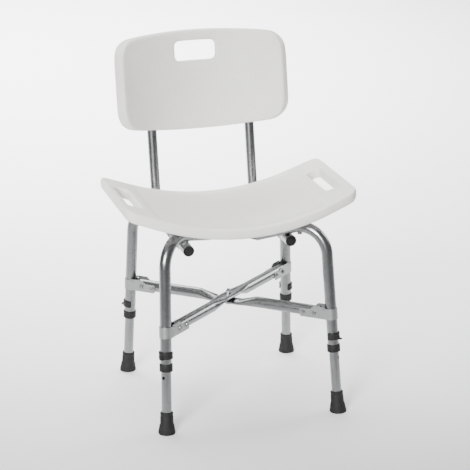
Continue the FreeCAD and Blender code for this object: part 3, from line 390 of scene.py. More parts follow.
@dataclass(frozen=True)
class MouldedBlack:
    """Black rubber or nylon, with a fine moulding texture and dusty high spots."""

    name: str
    colour: tuple[float, float, float]
    roughness: float
    grain_mm: float
    grain_depth: float

    def make(self) -> bpy.types.Material:
        """Build the material.

        Returns:
            The material.
        """
        tree = Dressing(self.name)
        place = tree.place()
        grain = tree.noise(place, self.grain_mm, 4.0, 0.6)
        dust = tree.ramp(tree.noise(place, 9.0, 4.0, 0.65), (0.42, 0.0), (0.72, 1.0))
        worn = tuple(c * 1.6 + 0.004 for c in self.colour)
        colour = tree.mixed(dust * 0.55 + grain * 0.2, self.colour, worn)
        rough = self.roughness + grain * 0.12 + dust * 0.08
        return tree.surface(Base_Color=colour, Roughness=rough, IOR=1.38,
                            Normal=tree.bump(grain, self.grain_depth))


@dataclass(frozen=True)
class StudioFloor:
    """Plain pale floor."""

    name: str
    colour: tuple[float, float, float] = (0.92, 0.92, 0.92)

    def make(self) -> bpy.types.Material:
        """Build the material."""
        return Dressing(self.name).surface(Base_Color=(*self.colour, 1.0), Roughness=0.9)


class Finishes:
    """Every finish of the chair, made once."""

    def __init__(self) -> None:
        """Build the materials."""
        self.back = MouldedShell("back_shell_grain", grain_mm=3.4, grain_depth=0.42).make()
        self.seat = MouldedShell("seat_shell_grain", grain_mm=1.7, grain_depth=0.07).make()
        self.tube = AnodisedTube("anodised_tube").make()
        self.sheet = StampedSheet("stamped_sheet").make()
        self.steel = PlatedSteel("plated_steel").make()
        self.rubber = MouldedBlack("foot_rubber", (0.008, 0.008, 0.0085), 0.60, 0.5, 0.05).make()
        self.nylon = MouldedBlack("collar_nylon", (0.007, 0.007, 0.0075), 0.50, 0.7, 0.03).make()
        self.glide = MouldedBlack("glide_nylon", (0.20, 0.20, 0.205), 0.42, 0.8, 0.03).make()
        self.floor = StudioFloor("studio_floor").make()


# Mesh tools ---------------------------------------------------------------------------------------


def mesh_from(name: str, points: Iterable[Sequence[float]], faces: Iterable[Sequence[int]]) -> bpy.types.Mesh:
    """Mesh from points in metres, with outward normals.

    Args:
        name: name of the mesh.
        points: places in metres.
        faces: indices of each face's corners.

    Returns:
        The mesh.
    """
    mesh = bpy.data.meshes.new(name)
    mesh.from_pydata([tuple(p) for p in points], [], [tuple(f) for f in faces])
    work = bmesh.new()
    work.from_mesh(mesh)
    bmesh.ops.remove_doubles(work, verts=work.verts, dist=1e-7)
    bmesh.ops.recalc_face_normals(work, faces=work.faces)
    work.to_mesh(mesh)
    work.free()
    return mesh


def object_of(name: str, mesh: bpy.types.Mesh) -> bpy.types.Object:
    """Object in the scene that holds a mesh.

    Args:
        name: name of the object.
        mesh: its mesh.

    Returns:
        The object.
    """
    piece = bpy.data.objects.new(name, mesh)
    bpy.context.scene.collection.objects.link(piece)
    return piece


def settle(piece: bpy.types.Object) -> bpy.types.Object:
    """Apply all modifiers of a piece.

    Args:
        piece: the object.

    Returns:
        The same object.
    """
    depsgraph = bpy.context.evaluated_depsgraph_get()
    mesh = bpy.data.meshes.new_from_object(piece.evaluated_get(depsgraph), depsgraph=depsgraph)
    piece.modifiers.clear()
    piece.data = mesh
    return piece


def rounded(piece: bpy.types.Object, width_mm: float, segments: int, angle: float) -> bpy.types.Object:
    """Bevel the hard edges of a piece and apply it.

    Args:
        piece: the object.
        width_mm: width of the bevel.
        segments: faces across it.
        angle: least angle of a bevelled edge, in degrees.

    Returns:
        The same object.
    """
    bevel = piece.modifiers.new("edges", "BEVEL")
    bevel.width = width_mm * MM
    bevel.segments = segments
    bevel.limit_method = "ANGLE"
    bevel.angle_limit = math.radians(angle)
    return settle(piece)


def softened(piece: bpy.types.Object, angle: float = 40.0) -> bpy.types.Object:
    """Smooth shading with sharp edges above an angle.

    Args:
        piece: the object.
        angle: least angle of a sharp edge, in degrees.

    Returns:
        The same object.
    """
    mesh = piece.data
    mesh.shade_smooth()
    mesh.set_sharp_from_angle(angle=math.radians(angle))
    return piece


def joined_with(piece: bpy.types.Object, tool: bpy.types.Object, operation: str) -> bpy.types.Object:
    """Boolean of a piece with a tool, which is then removed.

    Args:
        piece: the object.
        tool: the other object.
        operation: UNION or DIFFERENCE.

    Returns:
        The same object.
    """
    change = piece.modifiers.new("shape", "BOOLEAN")
    change.operation = operation
    change.solver = "EXACT"
    change.object = tool
    settle(piece)
    bpy.data.objects.remove(tool)
    return piece


def lathe_mesh(name: str, outline: Sequence[tuple[float, float]], place: Matrix,
               steps: int = 64, wave: Callable[[float, float, float], float] | None = None) -> bpy.types.Mesh:
    """Turned mesh.

    Args:
        name: name of the mesh.
        outline: (radius, height) in millimetres, closed or from axis to axis.
        place: matrix to the row frame.
        steps: points around.
        wave: change of radius in millimetres from angle, radius and height.

    Returns:
        The closed mesh.
    """
    points, faces = [], []
    rings = len(outline)
    closed = outline[0][0] > ON_AXIS
    for radius, height in outline:
        for k in range(steps):
            turn = 2 * math.pi * k / steps
            reach = radius + (wave(turn, radius, height) if wave and radius > ON_AXIS else 0.0)
            spot = Vector((reach * math.cos(turn), reach * math.sin(turn), height)) * MM
            points.append(place @ spot)
    for i in range(rings if closed else rings - 1):
        for k in range(steps):
            a, b = i * steps + k, i * steps + (k + 1) % steps
            c, d = ((i + 1) % rings) * steps + (k + 1) % steps, ((i + 1) % rings) * steps + k
            faces.append((a, b, c, d))
    mesh = mesh_from(name, points, faces)
    work = bmesh.new()
    work.from_mesh(mesh)
    bmesh.ops.dissolve_degenerate(work, edges=work.edges, dist=1e-7)
    work.to_mesh(mesh)
    work.free()
    return mesh


# The frame that everything rides on ---------------------------------------------------------------


@dataclass(frozen=True)
class Leg:
    """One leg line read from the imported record."""

    name: str
    foot: Vector
    axis: Vector
    inward: Vector

    def matrix(self, along_mm: float) -> Matrix:
        """Matrix on the leg: +Z up the leg and +X toward the middle of the chair.

        Args:
            along_mm: distance up the leg from the foot.

        Returns:
            The matrix.
        """
        side = self.axis.cross(self.inward).normalized()
        toward = side.cross(self.axis)
        turn = Matrix((toward, side, self.axis)).transposed().to_4x4()
        return Matrix.Translation(self.foot + self.axis * along_mm * MM) @ turn

    def point(self, height_mm: float) -> Vector:
        """Point of the leg's axis at a height."""
        return self.foot + self.axis * (height_mm * MM / self.axis.z)


def read_legs(brace_height_mm: float) -> dict[str, Leg]:
    """Legs of the chair, from the foot mounts and the height joints.

    Args:
        brace_height_mm: height at which a leg's inward direction is taken.

    Returns:
        The legs by name.
    """
    record = frame["record"]
    feet = {m["name"][5:]: Vector(m["pos_m"]) for m in record["mounts"] if m["name"].startswith("foot_")}
    middle = sum(feet.values(), Vector()) / len(feet)
    legs = {}
    for joint in record["behaviour"]["joints"]:
        if not joint["name"].endswith("_height"):
            continue
        name = joint["name"][4:-7]
        axis = -Vector(joint["axis"]).normalized()
        spot = feet[name] + axis * (brace_height_mm * MM / axis.z)
        inward = Vector((middle.x - spot.x, middle.y - spot.y, 0)).normalized()
        legs[name] = Leg(name, feet[name], axis, inward)
    return legs


class Workshop:
    """Hands pieces their material and body, and reports them."""

    def hand_over(self, piece: bpy.types.Object, finish: bpy.types.Material, body: str, slot: Slot,
                  *stands_for: str) -> bpy.types.Object:
        """Finish one piece.

        Args:
            piece: the object.
            finish: its material.
            body: CAD body that it rides on.
            slot: material slot of the record; not used.
            stands_for: CAD nodes that it replaces.

        Returns:
            The same piece.
        """
        piece.data.materials.clear()
        piece.data.materials.append(finish)
        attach(piece, body)
        if stands_for:
            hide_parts(*stands_for)
        log.info("%s on %s", piece.name, body)
        return piece

    def carry(self, node: str, finish: bpy.types.Material) -> None:
        """Keep a CAD node's shape and give it a finish.

        Args:
            node: name of the CAD node.
            finish: its material.
        """
        piece = frame["nodes"][node]
        piece.data.materials.clear()
        piece.data.materials.append(finish)
        log.info("%s kept from the frame", node)


# Moulded shells -----------------------------------------------------------------------------------


@dataclass(frozen=True)
class Hole:
    """Rectangular hole of a plate, in the plate's own plane, in millimetres."""

    x: float
    y: float
    half_x: float
    half_y: float
    corner: float
    edge: float

    def holds(self, x: float, y: float) -> bool:
        """Whether a point is inside."""
        return abs(x - self.x) < self.half_x and abs(y - self.y) < self.half_y


@dataclass(frozen=True)
class Plate:
    """Control cage of a moulded plate with rounded corners and rolled edges."""

    half_x: float
    half_y: float
    thick: float
    corner: float
    edge: float
    holes: tuple[Hole, ...]
    columns: tuple[float, ...]
    rows: tuple[float, ...]

    @staticmethod
    def _bent(x: float, y: float, half_x: float, half_y: float, corner: float) -> tuple[float, float]:
        """Point of a rectangle moved so that the rectangle gets round corners.

        Args:
            x: across.
            y: along.
            half_x: half width.
            half_y: half depth.
            corner: radius of the corners.

        Returns:
            The moved point.
        """
        a = (abs(x) - (half_x - corner)) / corner
        b = (abs(y) - (half_y - corner)) / corner
        if a <= 0 or b <= 0 or a > 1.001 or b > 1.001:
            return x, y
        new_a, new_b = a * math.sqrt(1 - b * b / 2), b * math.sqrt(1 - a * a / 2)
        return (math.copysign(half_x - corner + corner * new_a, x),
                math.copysign(half_y - corner + corner * new_b, y))

    def cage(self, name: str, place: Callable[[float, float, float], Vector],
             top: Callable[[float, float], float] | None = None,
             wall: Callable[[Hole, float, float], float] | None = None) -> bpy.types.Mesh:
        """Build the cage.

        Args:
            name: name of the mesh.
            place: point in metres from plane coordinates and depth in millimetres.
            top: lift of the upper face in millimetres.
            wall: sideways shift of a hole's wall in millimetres.

        Returns:
            The closed cage, for a subdivision surface.
        """
        points: list[Vector] = []
        index: dict[tuple[int, int, int], int] = {}
        columns, rows = self.columns, self.rows
        nx, ny = len(columns), len(rows)
        solid = {(i, j) for i in range(nx - 1) for j in range(ny - 1)
                 if not any(h.holds((columns[i] + columns[i + 1]) / 2, (rows[j] + rows[j + 1]) / 2)
                            for h in self.holes)}

        def rim(i: int, j: int) -> tuple[float, float, float, Hole | None] | None:
            """Inward direction and edge radius of a boundary point.

            Args:
                i: column.
                j: row.

            Returns:
                Inward steps, edge radius and hole, or None away from any edge.
            """
            x, y = columns[i], rows[j]
            for hole in self.holes:
                dx, dy = x - hole.x, y - hole.y
                if abs(dx) <= hole.half_x + TOLERANCE and abs(dy) <= hole.half_y + TOLERANCE:
                    sx = math.copysign(1, dx) if abs(abs(dx) - hole.half_x) < TOLERANCE else 0
                    sy = math.copysign(1, dy) if abs(abs(dy) - hole.half_y) < TOLERANCE else 0
                    return sx, sy, hole.edge, hole
            sx = -math.copysign(1, x) if i in (0, nx - 1) else 0
            sy = -math.copysign(1, y) if j in (0, ny - 1) else 0
            return (sx, sy, self.edge, None) if sx or sy else None

        def vertex(i: int, j: int, level: int) -> int:
            """Index of a point, made the first time it is asked for.

            Args:
                i: column.
                j: row.
                level: 0 on the upper face, 1 and 2 on the wall, 3 on the lower face.

            Returns:
                The index.
            """
            key = (i, j, level)
            if key in index:
                return index[key]
            x, y = columns[i], rows[j]
            lift = top(x, y) if top else 0.0
            edge = rim(i, j)
            depth = {0: lift, 3: -self.thick}.get(level, 0.0)
            if edge:
                sx, sy, radius, hole = edge
                near = ROLL * radius
                if hole:
                    moved = self._bent(x - hole.x, y - hole.y, hole.half_x, hole.half_y, hole.corner)
                    x, y = moved[0] + hole.x, moved[1] + hole.y
                    if wall:
                        x += wall(hole, x, y)
                else:
                    x, y = self._bent(x, y, self.half_x, self.half_y, self.corner)
                depth = (lift - near, lift - radius, radius - self.thick, near - self.thick)[level]
                if level in (0, 3):
                    x, y = x + sx * near, y + sy * near
            else:
                x, y = self._bent(x, y, self.half_x, self.half_y, self.corner)
            index[key] = len(points)
            points.append(place(x, y, depth))
            return index[key]

        faces = []
        for i, j in sorted(solid):
            square = [(i, j), (i + 1, j), (i + 1, j + 1), (i, j + 1)]
            faces.append([vertex(a, b, 0) for a, b in square])
            faces.append([vertex(a, b, 3) for a, b in reversed(square)])
            beside = [(i, j - 1), (i + 1, j), (i, j + 1), (i - 1, j)]
            for side, other in enumerate(beside):
                if other in solid:
                    continue
                a, b = square[side], square[(side + 1) % 4]
                for level in range(3):
                    faces.append([vertex(*b, level), vertex(*a, level),
                                  vertex(*a, level + 1), vertex(*b, level + 1)])
        return mesh_from(name, points, faces)


def both_ways(*positive: float) -> tuple[float, ...]:
    """Values, their negatives and zero, in order."""
    return tuple(sorted({0.0, *positive, *(-v for v in positive)}))


def subdivided(piece: bpy.types.Object, levels: int) -> bpy.types.Object:
    """Apply a subdivision surface.

    Args:
        piece: the object.
        levels: number of subdivisions.

    Returns:
        The same object.
    """
    surface = piece.modifiers.new("surface", "SUBSURF")
    surface.levels = levels
    surface.render_levels = levels
    return settle(piece)


@dataclass
class SeatShell:
    """Dished seat with hand openings, finger grips and drain holes."""

    legs: dict[str, Leg]
    half_width: float = 264.0
    half_depth: float = 148.0
    bow: float = 23.8
    low_top: float = 444.5
    crease: float = 190.0
    dish: float = 33.0
    thick: float = 24.0
    corner: float = 26.0
    edge: float = 8.0
    grip_half_length: float = 76.0
    grip_half_width: float = 16.5
    grip_inset: float = 19.0
    drain_radius: float = 3.0
    panel_step: float = 2.2
    border: float = 14.0
    blend: float = 5.0
    finger_pitch: float = 28.8
    finger_depth: float = 1.6
    finger_ends: float = 12.0

    def __post_init__(self) -> None:
        """Work out the dish and the middle of the seat."""
        self.radius = (self.crease ** 2 + self.dish ** 2) / (2 * self.dish)
        self.slope = math.asin(self.crease / self.radius)
        self.middle_y = sum(leg.foot.y for leg in self.legs.values()) / len(self.legs)

    def top(self, x: float) -> float:
        """Height of the upper face, before its step, at a distance from the mid plane.

        Args:
            x: distance from the mid plane, in millimetres.

        Returns:
            The height, in millimetres.
        """
        across = min(abs(x), self.crease)
        rise = self.radius - math.sqrt(self.radius ** 2 - across ** 2)
        return self.low_top + rise + (abs(x) - across) * math.tan(self.slope)

    def place(self, x: float, y: float, depth: float) -> Vector:
        """Point of the seat in the row frame.

        Args:
            x: distance from the mid plane.
            y: distance from the middle, positive to the rear.
            depth: height over the upper face.

        Returns:
            The point, in metres.
        """
        steep = math.asin(min(abs(x), self.crease) / self.radius)
        ahead = max(0.0, (-y - self.grip_half_length - 4.0) / (self.half_depth - self.grip_half_length - 4.0))
        y -= self.bow * ahead * (1 - (x / self.half_width) ** 2)
        return Vector((x * MM, self.middle_y + y * MM, (self.top(x) + depth / math.cos(steep)) * MM))

    def lift(self, x: float, y: float) -> float:
        """Sitting area, a little lower than the border and the hand grips.

        Args:
            x: distance from the mid plane.
            y: distance from the middle.

        Returns:
            Lift of the upper face.
        """
        inside_x = min(1.0, max(0.0, (self.crease + 2.0 - abs(x)) / self.blend))
        inside_y = min(1.0, max(0.0, (self.half_depth - self.border - abs(y)) / self.blend))
        return -self.panel_step * inside_x * inside_y

    def finger(self, hole: Hole, x: float, y: float) -> float:
        """Scallops of the outer wall of a hand opening.

        Args:
            hole: the opening.
            x: across.
            y: along.

        Returns:
            Shift of the wall.
        """
        outer = (x - hole.x) * math.copysign(1, hole.x)
        if outer < hole.half_x - 3.0 or abs(y) > self.grip_half_length - self.finger_ends:
            return 0.0
        wave = math.cos(2 * math.pi * y / self.finger_pitch)
        return -math.copysign(self.finger_depth * (wave - 0.25), hole.x)

    def holes(self) -> tuple[Hole, ...]:
        """The two hand openings.

        Returns:
            The openings, in the plate's plane.
        """
        centre = self.half_width - self.grip_inset - self.grip_half_width
        return tuple(Hole(side * centre, 0.0, self.grip_half_width, self.grip_half_length, 11.0, 4.5)
                     for side in (-1, 1))

    def drains(self) -> list[tuple[float, float]]:
        """Plan places of the drain holes, from the middle of the seat.

        Returns:
            The places, in millimetres.
        """
        pairs = [(49, 83), (85, 36)]
        spots = [(sx * x, sy * y) for x, y in pairs for sx in (-1, 1) for sy in (-1, 1)]
        return spots + [(0, 50), (0, -50), (52, 0), (-52, 0)]

    def build(self) -> bpy.types.Object:
        """Mesh of the whole seat.

        Returns:
            The seat.
        """
        inner = self.half_width - self.grip_inset - 2 * self.grip_half_width
        outer = self.half_width - self.grip_inset
        columns = both_ways(30, 60, 90, 120, 148, 170, 184, self.crease - 3, self.crease + 2, inner - 7,
                            inner, inner + 11, outer - 11, outer, outer + 6, self.half_width - self.edge,
                            self.half_width)
        grip = self.grip_half_length
        rows = both_ways(7.2, 14.4, 21.6, 28.8, 36, 43.2, 50.4, 57.6, grip - 5, grip, grip + 6, 94, 112,
                         self.half_depth - self.border - self.blend, self.half_depth - self.border,
                         self.half_depth - self.edge + 1.5,
                         self.half_depth)
        plate = Plate(self.half_width, self.half_depth, self.thick, self.corner, self.edge, self.holes(),
                      columns, rows)
        cage = plate.cage("seat_shell", self.place, self.lift, self.finger)
        piece = subdivided(object_of("seat_shell", cage), 2)
        for x, y in self.drains():
            spot = Matrix.Translation(Vector((x * MM, self.middle_y + y * MM, self.top(x) * MM)))
            bore = self.drain_radius
            outline = [(0, 12), (bore + 0.4, 12), (bore + 0.4, -1.0), (bore, -1.8), (bore, -self.thick - 20),
                       (0, -self.thick - 20)]
            joined_with(piece, object_of("drain", lathe_mesh("drain", outline, spot, 24)), "DIFFERENCE")
        return softened(piece, 50.0)


@dataclass
class BackShell:
    """Bowed back panel with a hand hole and a crowned outline."""

    middle: Vector
    half_chord: float = 199.0
    height: float = 201.0
    crown: float = 16.0
    corner: float = 45.0
    edge: float = 8.0
    thick: float = 28.0
    bow: float = 78.0
    lean: float = 9.5
    tube_spread: float = 118.0
    corner_depth: float = 188.8
    corner_height: float = 385.3
    base: float = 206.3
    hand_half_width: float = 52.0
    hand_half_height: float = 20.0
    hand_top: float = 22.0

    def __post_init__(self) -> None:
        """Work out the bow and the panel's own frame."""
        self.radius = (self.half_chord ** 2 + self.bow ** 2) / (2 * self.bow)
        self.half_arc = self.radius * math.asin(self.half_chord / self.radius)
        self.tube_bow = self.radius - math.sqrt(self.radius ** 2 - self.tube_spread ** 2)
        angle = math.radians(self.lean)
        self.up = Vector((0, math.sin(angle), math.cos(angle)))
        self.behind = Vector((0, math.cos(angle), -math.sin(angle)))
        corner = Vector((0, self.middle.y + self.corner_depth * MM, self.corner_height * MM))
        self.origin = corner + self.up * ((self.base + self.height / 2) * MM)

    def place(self, x: float, y: float, depth: float) -> Vector:
        """Point of the panel: x along the arc, y up the lean from its middle, depth back from its front.

        Args:
            x: distance along the arc.
            y: distance up the lean.
            depth: distance back from the front face.

        Returns:
            The point, in metres.
        """
        turn = x / self.radius
        reach = self.radius - depth - self.thick / 2
        across = reach * math.sin(turn)
        back = reach * math.cos(turn) - self.radius + self.tube_bow
        chord = self.radius * math.sin(turn)
        crown = self.crown * (1 - (chord / self.half_chord) ** 2) * (y / (self.height / 2))
        side = Vector((across * MM, 0, 0))
        return self.origin + side + self.up * ((y + crown) * MM) + self.behind * (back * MM)

    def build(self) -> bpy.types.Object:
        """Mesh of the panel.

        Returns:
            The panel.
        """
        half = self.height / 2
        middle = half - self.hand_top - self.hand_half_height
        hole = Hole(0.0, middle, self.hand_half_width, self.hand_half_height, 12.0, 4.5)
        columns = both_ways(20, 40, self.hand_half_width - 6, self.hand_half_width, self.hand_half_width + 6,
                            80, 105, 130, 152, self.half_arc - self.corner, self.half_arc - 32,
                            self.half_arc - 20, self.half_arc - self.edge, self.half_arc)
        low_hole, high_hole = middle - self.hand_half_height, middle + self.hand_half_height
        rows = (-half, -half + self.edge, -half + 20, -half + 32, -half + 45, -32.0, -8.0, 14.0,
                low_hole - 6, low_hole, low_hole + 7, high_hole - 7, high_hole, high_hole + 6,
                half - self.edge, half)
        plate = Plate(self.half_arc, half, self.thick, self.corner, self.edge, (hole,), columns,
                      tuple(sorted(rows)))
        piece = subdivided(object_of("back_shell", plate.cage("back_shell", self.place)), 2)
        return softened(piece, 50.0)


# Leg pieces ---------------------------------------------------------------------------------------


@dataclass(frozen=True)
class TipShape:
    """Sizes of a foot tip."""

    radius: float = 19.0
    neck: float = 14.4
    height: float = 48.0
    skirt: float = 19.0
    floor: float = 9.0
    bore: float = 11.15
    skirt_ribs: int = 24
    neck_ribs: int = 16

    def outline(self) -> list[tuple[float, float]]:
        """Radius and height of the turned outline.

        Returns:
            The points, from the sole round the outside to the bore.
        """
        neck, top = self.neck, self.height
        return [(TINY, -2.5), (self.radius - 5.5, -2.5), (self.radius - 0.8, -2.5), (self.radius, -1.6),
                (self.radius, 4.2), (self.radius - 0.35, 5.6), (self.radius - 1.5, 12.0),
                (self.radius - 2.3, self.skirt - 0.6), (self.radius - 2.9, self.skirt + 0.2),
                (neck + 1.1, self.skirt + 2.4), (neck + 0.55, self.skirt + 4.0), (neck + 0.15, top - 9.0),
                (neck - 0.55, top - 7.6), (neck - 0.55, top - 6.6), (neck, top - 5.4), (neck, top - 1.4),
                (neck - 0.35, top - 0.5), (neck - 1.1, top - 0.05), (self.bore + 0.5, top - 0.05),
                (self.bore, top - 0.6), (self.bore, self.floor), (TINY, self.floor)]

    def ribs(self, turn: float, radius: float, height: float) -> float:
        """Shallow upright ribs on the skirt and the neck.

        Args:
            turn: angle round the axis.
            radius: radius of the ring.
            height: height of the ring.

        Returns:
            Change of the radius.
        """
        if 3.0 < height < self.skirt - 1.0 and radius > self.neck:
            return -0.55 * max(0.0, math.cos(turn * self.skirt_ribs)) ** 4
        if self.skirt + 3.0 < height < self.height - 10.0 and radius > self.bore + 1:
            return -0.35 * max(0.0, math.cos(turn * self.neck_ribs)) ** 6
        return 0.0


def foot_tip(leg: Leg, shape: TipShape) -> bpy.types.Object:
    """Rubber foot with a rolled lip and ribs, cut level with the floor.

    Args:
        leg: the leg.
        shape: sizes of the tip.

    Returns:
        The tip.
    """
    mesh = lathe_mesh(f"foot_{leg.name}", shape.outline(), leg.matrix(0.0), 96, shape.ribs)
    work = bmesh.new()
    work.from_mesh(mesh)
    geometry = work.verts[:] + work.edges[:] + work.faces[:]
    cut = bmesh.ops.bisect_plane(work, geom=geometry, plane_co=(0, 0, 0.00002), plane_no=(0, 0, 1),
                                 clear_inner=True)
    loop = [e for e in cut["geom_cut"] if isinstance(e, bmesh.types.BMEdge)]
    bmesh.ops.contextual_create(work, geom=loop)
    bmesh.ops.recalc_face_normals(work, faces=work.faces)
    work.to_mesh(mesh)
    work.free()
    return softened(object_of(f"foot_{leg.name}", mesh), 35.0)


@dataclass(frozen=True)
class CollarShape:
    """Sizes of the end collar, the clip and the leg tube."""

    tube: float = 12.7
    inner: float = 11.1
    wall: float = 2.0
    height: float = 17.5
    lip: float = 1.8
    start: float = 143.0
    pin: float = 178.0
    clip_wall: float = 3.2
    clip_height: float = 16.0
    wrap: float = 256.0
    tab_length: float = 7.0
    tab_width: float = 9.0

    def collar(self, leg: Leg) -> bpy.types.Object:
        """Nylon collar with rounded rims and a grip groove.

        Args:
            leg: the leg.

        Returns:
            The collar.
        """
        outer, grip, lip = self.tube + 0.1 + self.wall, self.tube + 0.1, self.inner + 0.3
        top = self.height - self.lip
        outline = [(lip, -self.lip + 0.3), (lip + 0.3, -self.lip), (outer - 0.9, -self.lip),
                   (outer - 0.25, -self.lip + 0.3), (outer, -self.lip + 0.9), (outer, 3.2),
                   (outer - 0.5, 3.7), (outer - 0.5, 4.5), (outer, 5.0), (outer, top - 2.0),
                   (outer - 0.3, top - 0.9), (outer - 0.9, top - 0.2), (outer - 1.3, top),
                   (grip + 0.1, top), (grip, top - 0.2), (grip, -0.05), (lip, -0.05)]
        mesh = lathe_mesh(f"collar_{leg.name}", outline, leg.matrix(self.start), 72)
        return softened(object_of(f"collar_{leg.name}", mesh), 35.0)

    def clip(self, leg: Leg) -> bpy.types.Object:
        """Open spring band with rounded rims, a pin boss and a ribbed pull tab.

        Args:
            leg: the leg.

        Returns:
            The clip.
        """
        grip, outer = self.tube + 0.1, self.tube + 0.1 + self.clip_wall
        half = self.clip_height / 2
        section = [(grip, -half), (outer - 1.1, -half), (outer - 0.3, -half + 0.4), (outer, -half + 1.2),
                   (outer, -2.6), (outer - 0.45, -2.0), (outer - 0.45, 2.0), (outer, 2.6),
                   (outer, half - 1.2), (outer - 0.3, half - 0.4), (outer - 1.1, half), (grip, half)]
        frame_of = leg.matrix(self.pin)
        steps = 44
        points, faces = [], []
        for k in range(steps + 1):
            share = k / steps
            turn = math.radians(180.0 - self.wrap / 2 + self.wrap * share)
            pinch = min(1.0, min(share, 1 - share) * 14.0) ** 0.5
            for radius, height in section:
                reach = grip + (radius - grip) * (0.35 + 0.65 * pinch)
                spot = Vector((reach * math.cos(turn), reach * math.sin(turn), height * (0.8 + 0.2 * pinch)))
                points.append(frame_of @ (spot * MM))
        count = len(section)
        for k in range(steps):
            for i in range(count):
                a, b = k * count + i, k * count + (i + 1) % count
                faces.append((a, b, b + count, a + count))
        faces.append(tuple(range(count)))
        faces.append(tuple(steps * count + i for i in range(count)))
        piece = object_of(f"clip_{leg.name}", mesh_from(f"clip_{leg.name}", points, faces))
        for mesh in (self._tab(leg, outer), self._pin(leg, outer)):
            joined_with(piece, object_of(mesh.name, mesh), "UNION")
        return softened(piece, 35.0)

    def _tab(self, leg: Leg, outer: float) -> bpy.types.Mesh:
        """Pull tab that tapers outward, with a raised end.

        Args:
            leg: the leg.
            outer: outer radius of the band.

        Returns:
            The closed mesh.
        """
        place = leg.matrix(self.pin)
        half, low = self.tab_width / 2, -self.clip_height / 2
        stations = [(outer - 1.0, half, 2.9), (outer + 2.0, half, 2.4), (outer + 3.6, half - 0.2, 2.2),
                    (outer + 4.6, half - 0.5, 2.95), (outer + self.tab_length - 1.9, half - 1.0, 2.95),
                    (outer + self.tab_length - 1.52, half - 1.8, 2.3)]
        points, faces = [], []
        for out, wide, high in stations:
            for y, z in ((-wide, 0.0), (-wide + 0.5, 0.0), (wide - 0.5, 0.0), (wide, 0.0), (wide, high - 0.5),
                         (wide - 0.5, high), (-wide + 0.5, high), (-wide, high - 0.5)):
                points.append(place @ (Vector((-out, y, low + z)) * MM))
        for k in range(len(stations) - 1):
            for i in range(8):
                a, b = k * 8 + i, k * 8 + (i + 1) % 8
                faces.append((a, b, b + 8, a + 8))
        faces.append(tuple(range(8)))
        faces.append(tuple(8 * (len(stations) - 1) + i for i in range(8)))
        return mesh_from(f"tab_{leg.name}", points, faces)

    def _pin(self, leg: Leg, outer: float) -> bpy.types.Mesh:
        """Height pin from inside the tubes to a shallow boss on the band.

        Args:
            leg: the leg.
            outer: outer radius of the band.

        Returns:
            The closed mesh.
        """
        sideways = leg.matrix(self.pin) @ Matrix.Rotation(math.radians(-90), 4, "Y")
        start = self.inner - 4.0
        outline = [(TINY, start), (2.7, start), (3.4, start + 0.7), (3.4, outer - 0.65), (2.9, outer - 0.1),
                   (TINY, outer - 0.1)]
        return lathe_mesh(f"pin_{leg.name}", outline, sideways, 28)


def socket_plug(name: str, finish_radius: float = 11.47) -> bpy.types.Object:
    """Domed black plug with a moulded ring, in the front end of a socket.

    Args:
        name: left or right.
        finish_radius: radius of the plug.

    Returns:
        The plug.
    """
    low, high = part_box(f"socket_plug_{name}")
    face = Vector(((low[0] + high[0]) / 2, low[1], (low[2] + high[2]) / 2))
    place = Matrix.Translation(face) @ Matrix.Rotation(math.radians(90), 4, "X")
    depth = (high[1] - low[1]) / MM
    outline = [(TINY, -depth), (finish_radius - 1.0, -depth), (finish_radius, -depth + 1.0),
               (finish_radius, -1.1), (finish_radius - 0.3, -0.4), (finish_radius - 0.9, -0.05),
               (finish_radius - 2.2, 0.0), (finish_radius - 2.7, -0.45), (finish_radius - 3.4, -0.5),
               (finish_radius - 4.0, -0.2), (3.0, -0.05), (1.6, -0.35), (TINY, -0.4)]
    return softened(object_of(f"plug_{name}", lathe_mesh(f"plug_{name}", outline, place, 64)), 35.0)


# Brackets and fasteners ---------------------------------------------------------------------------


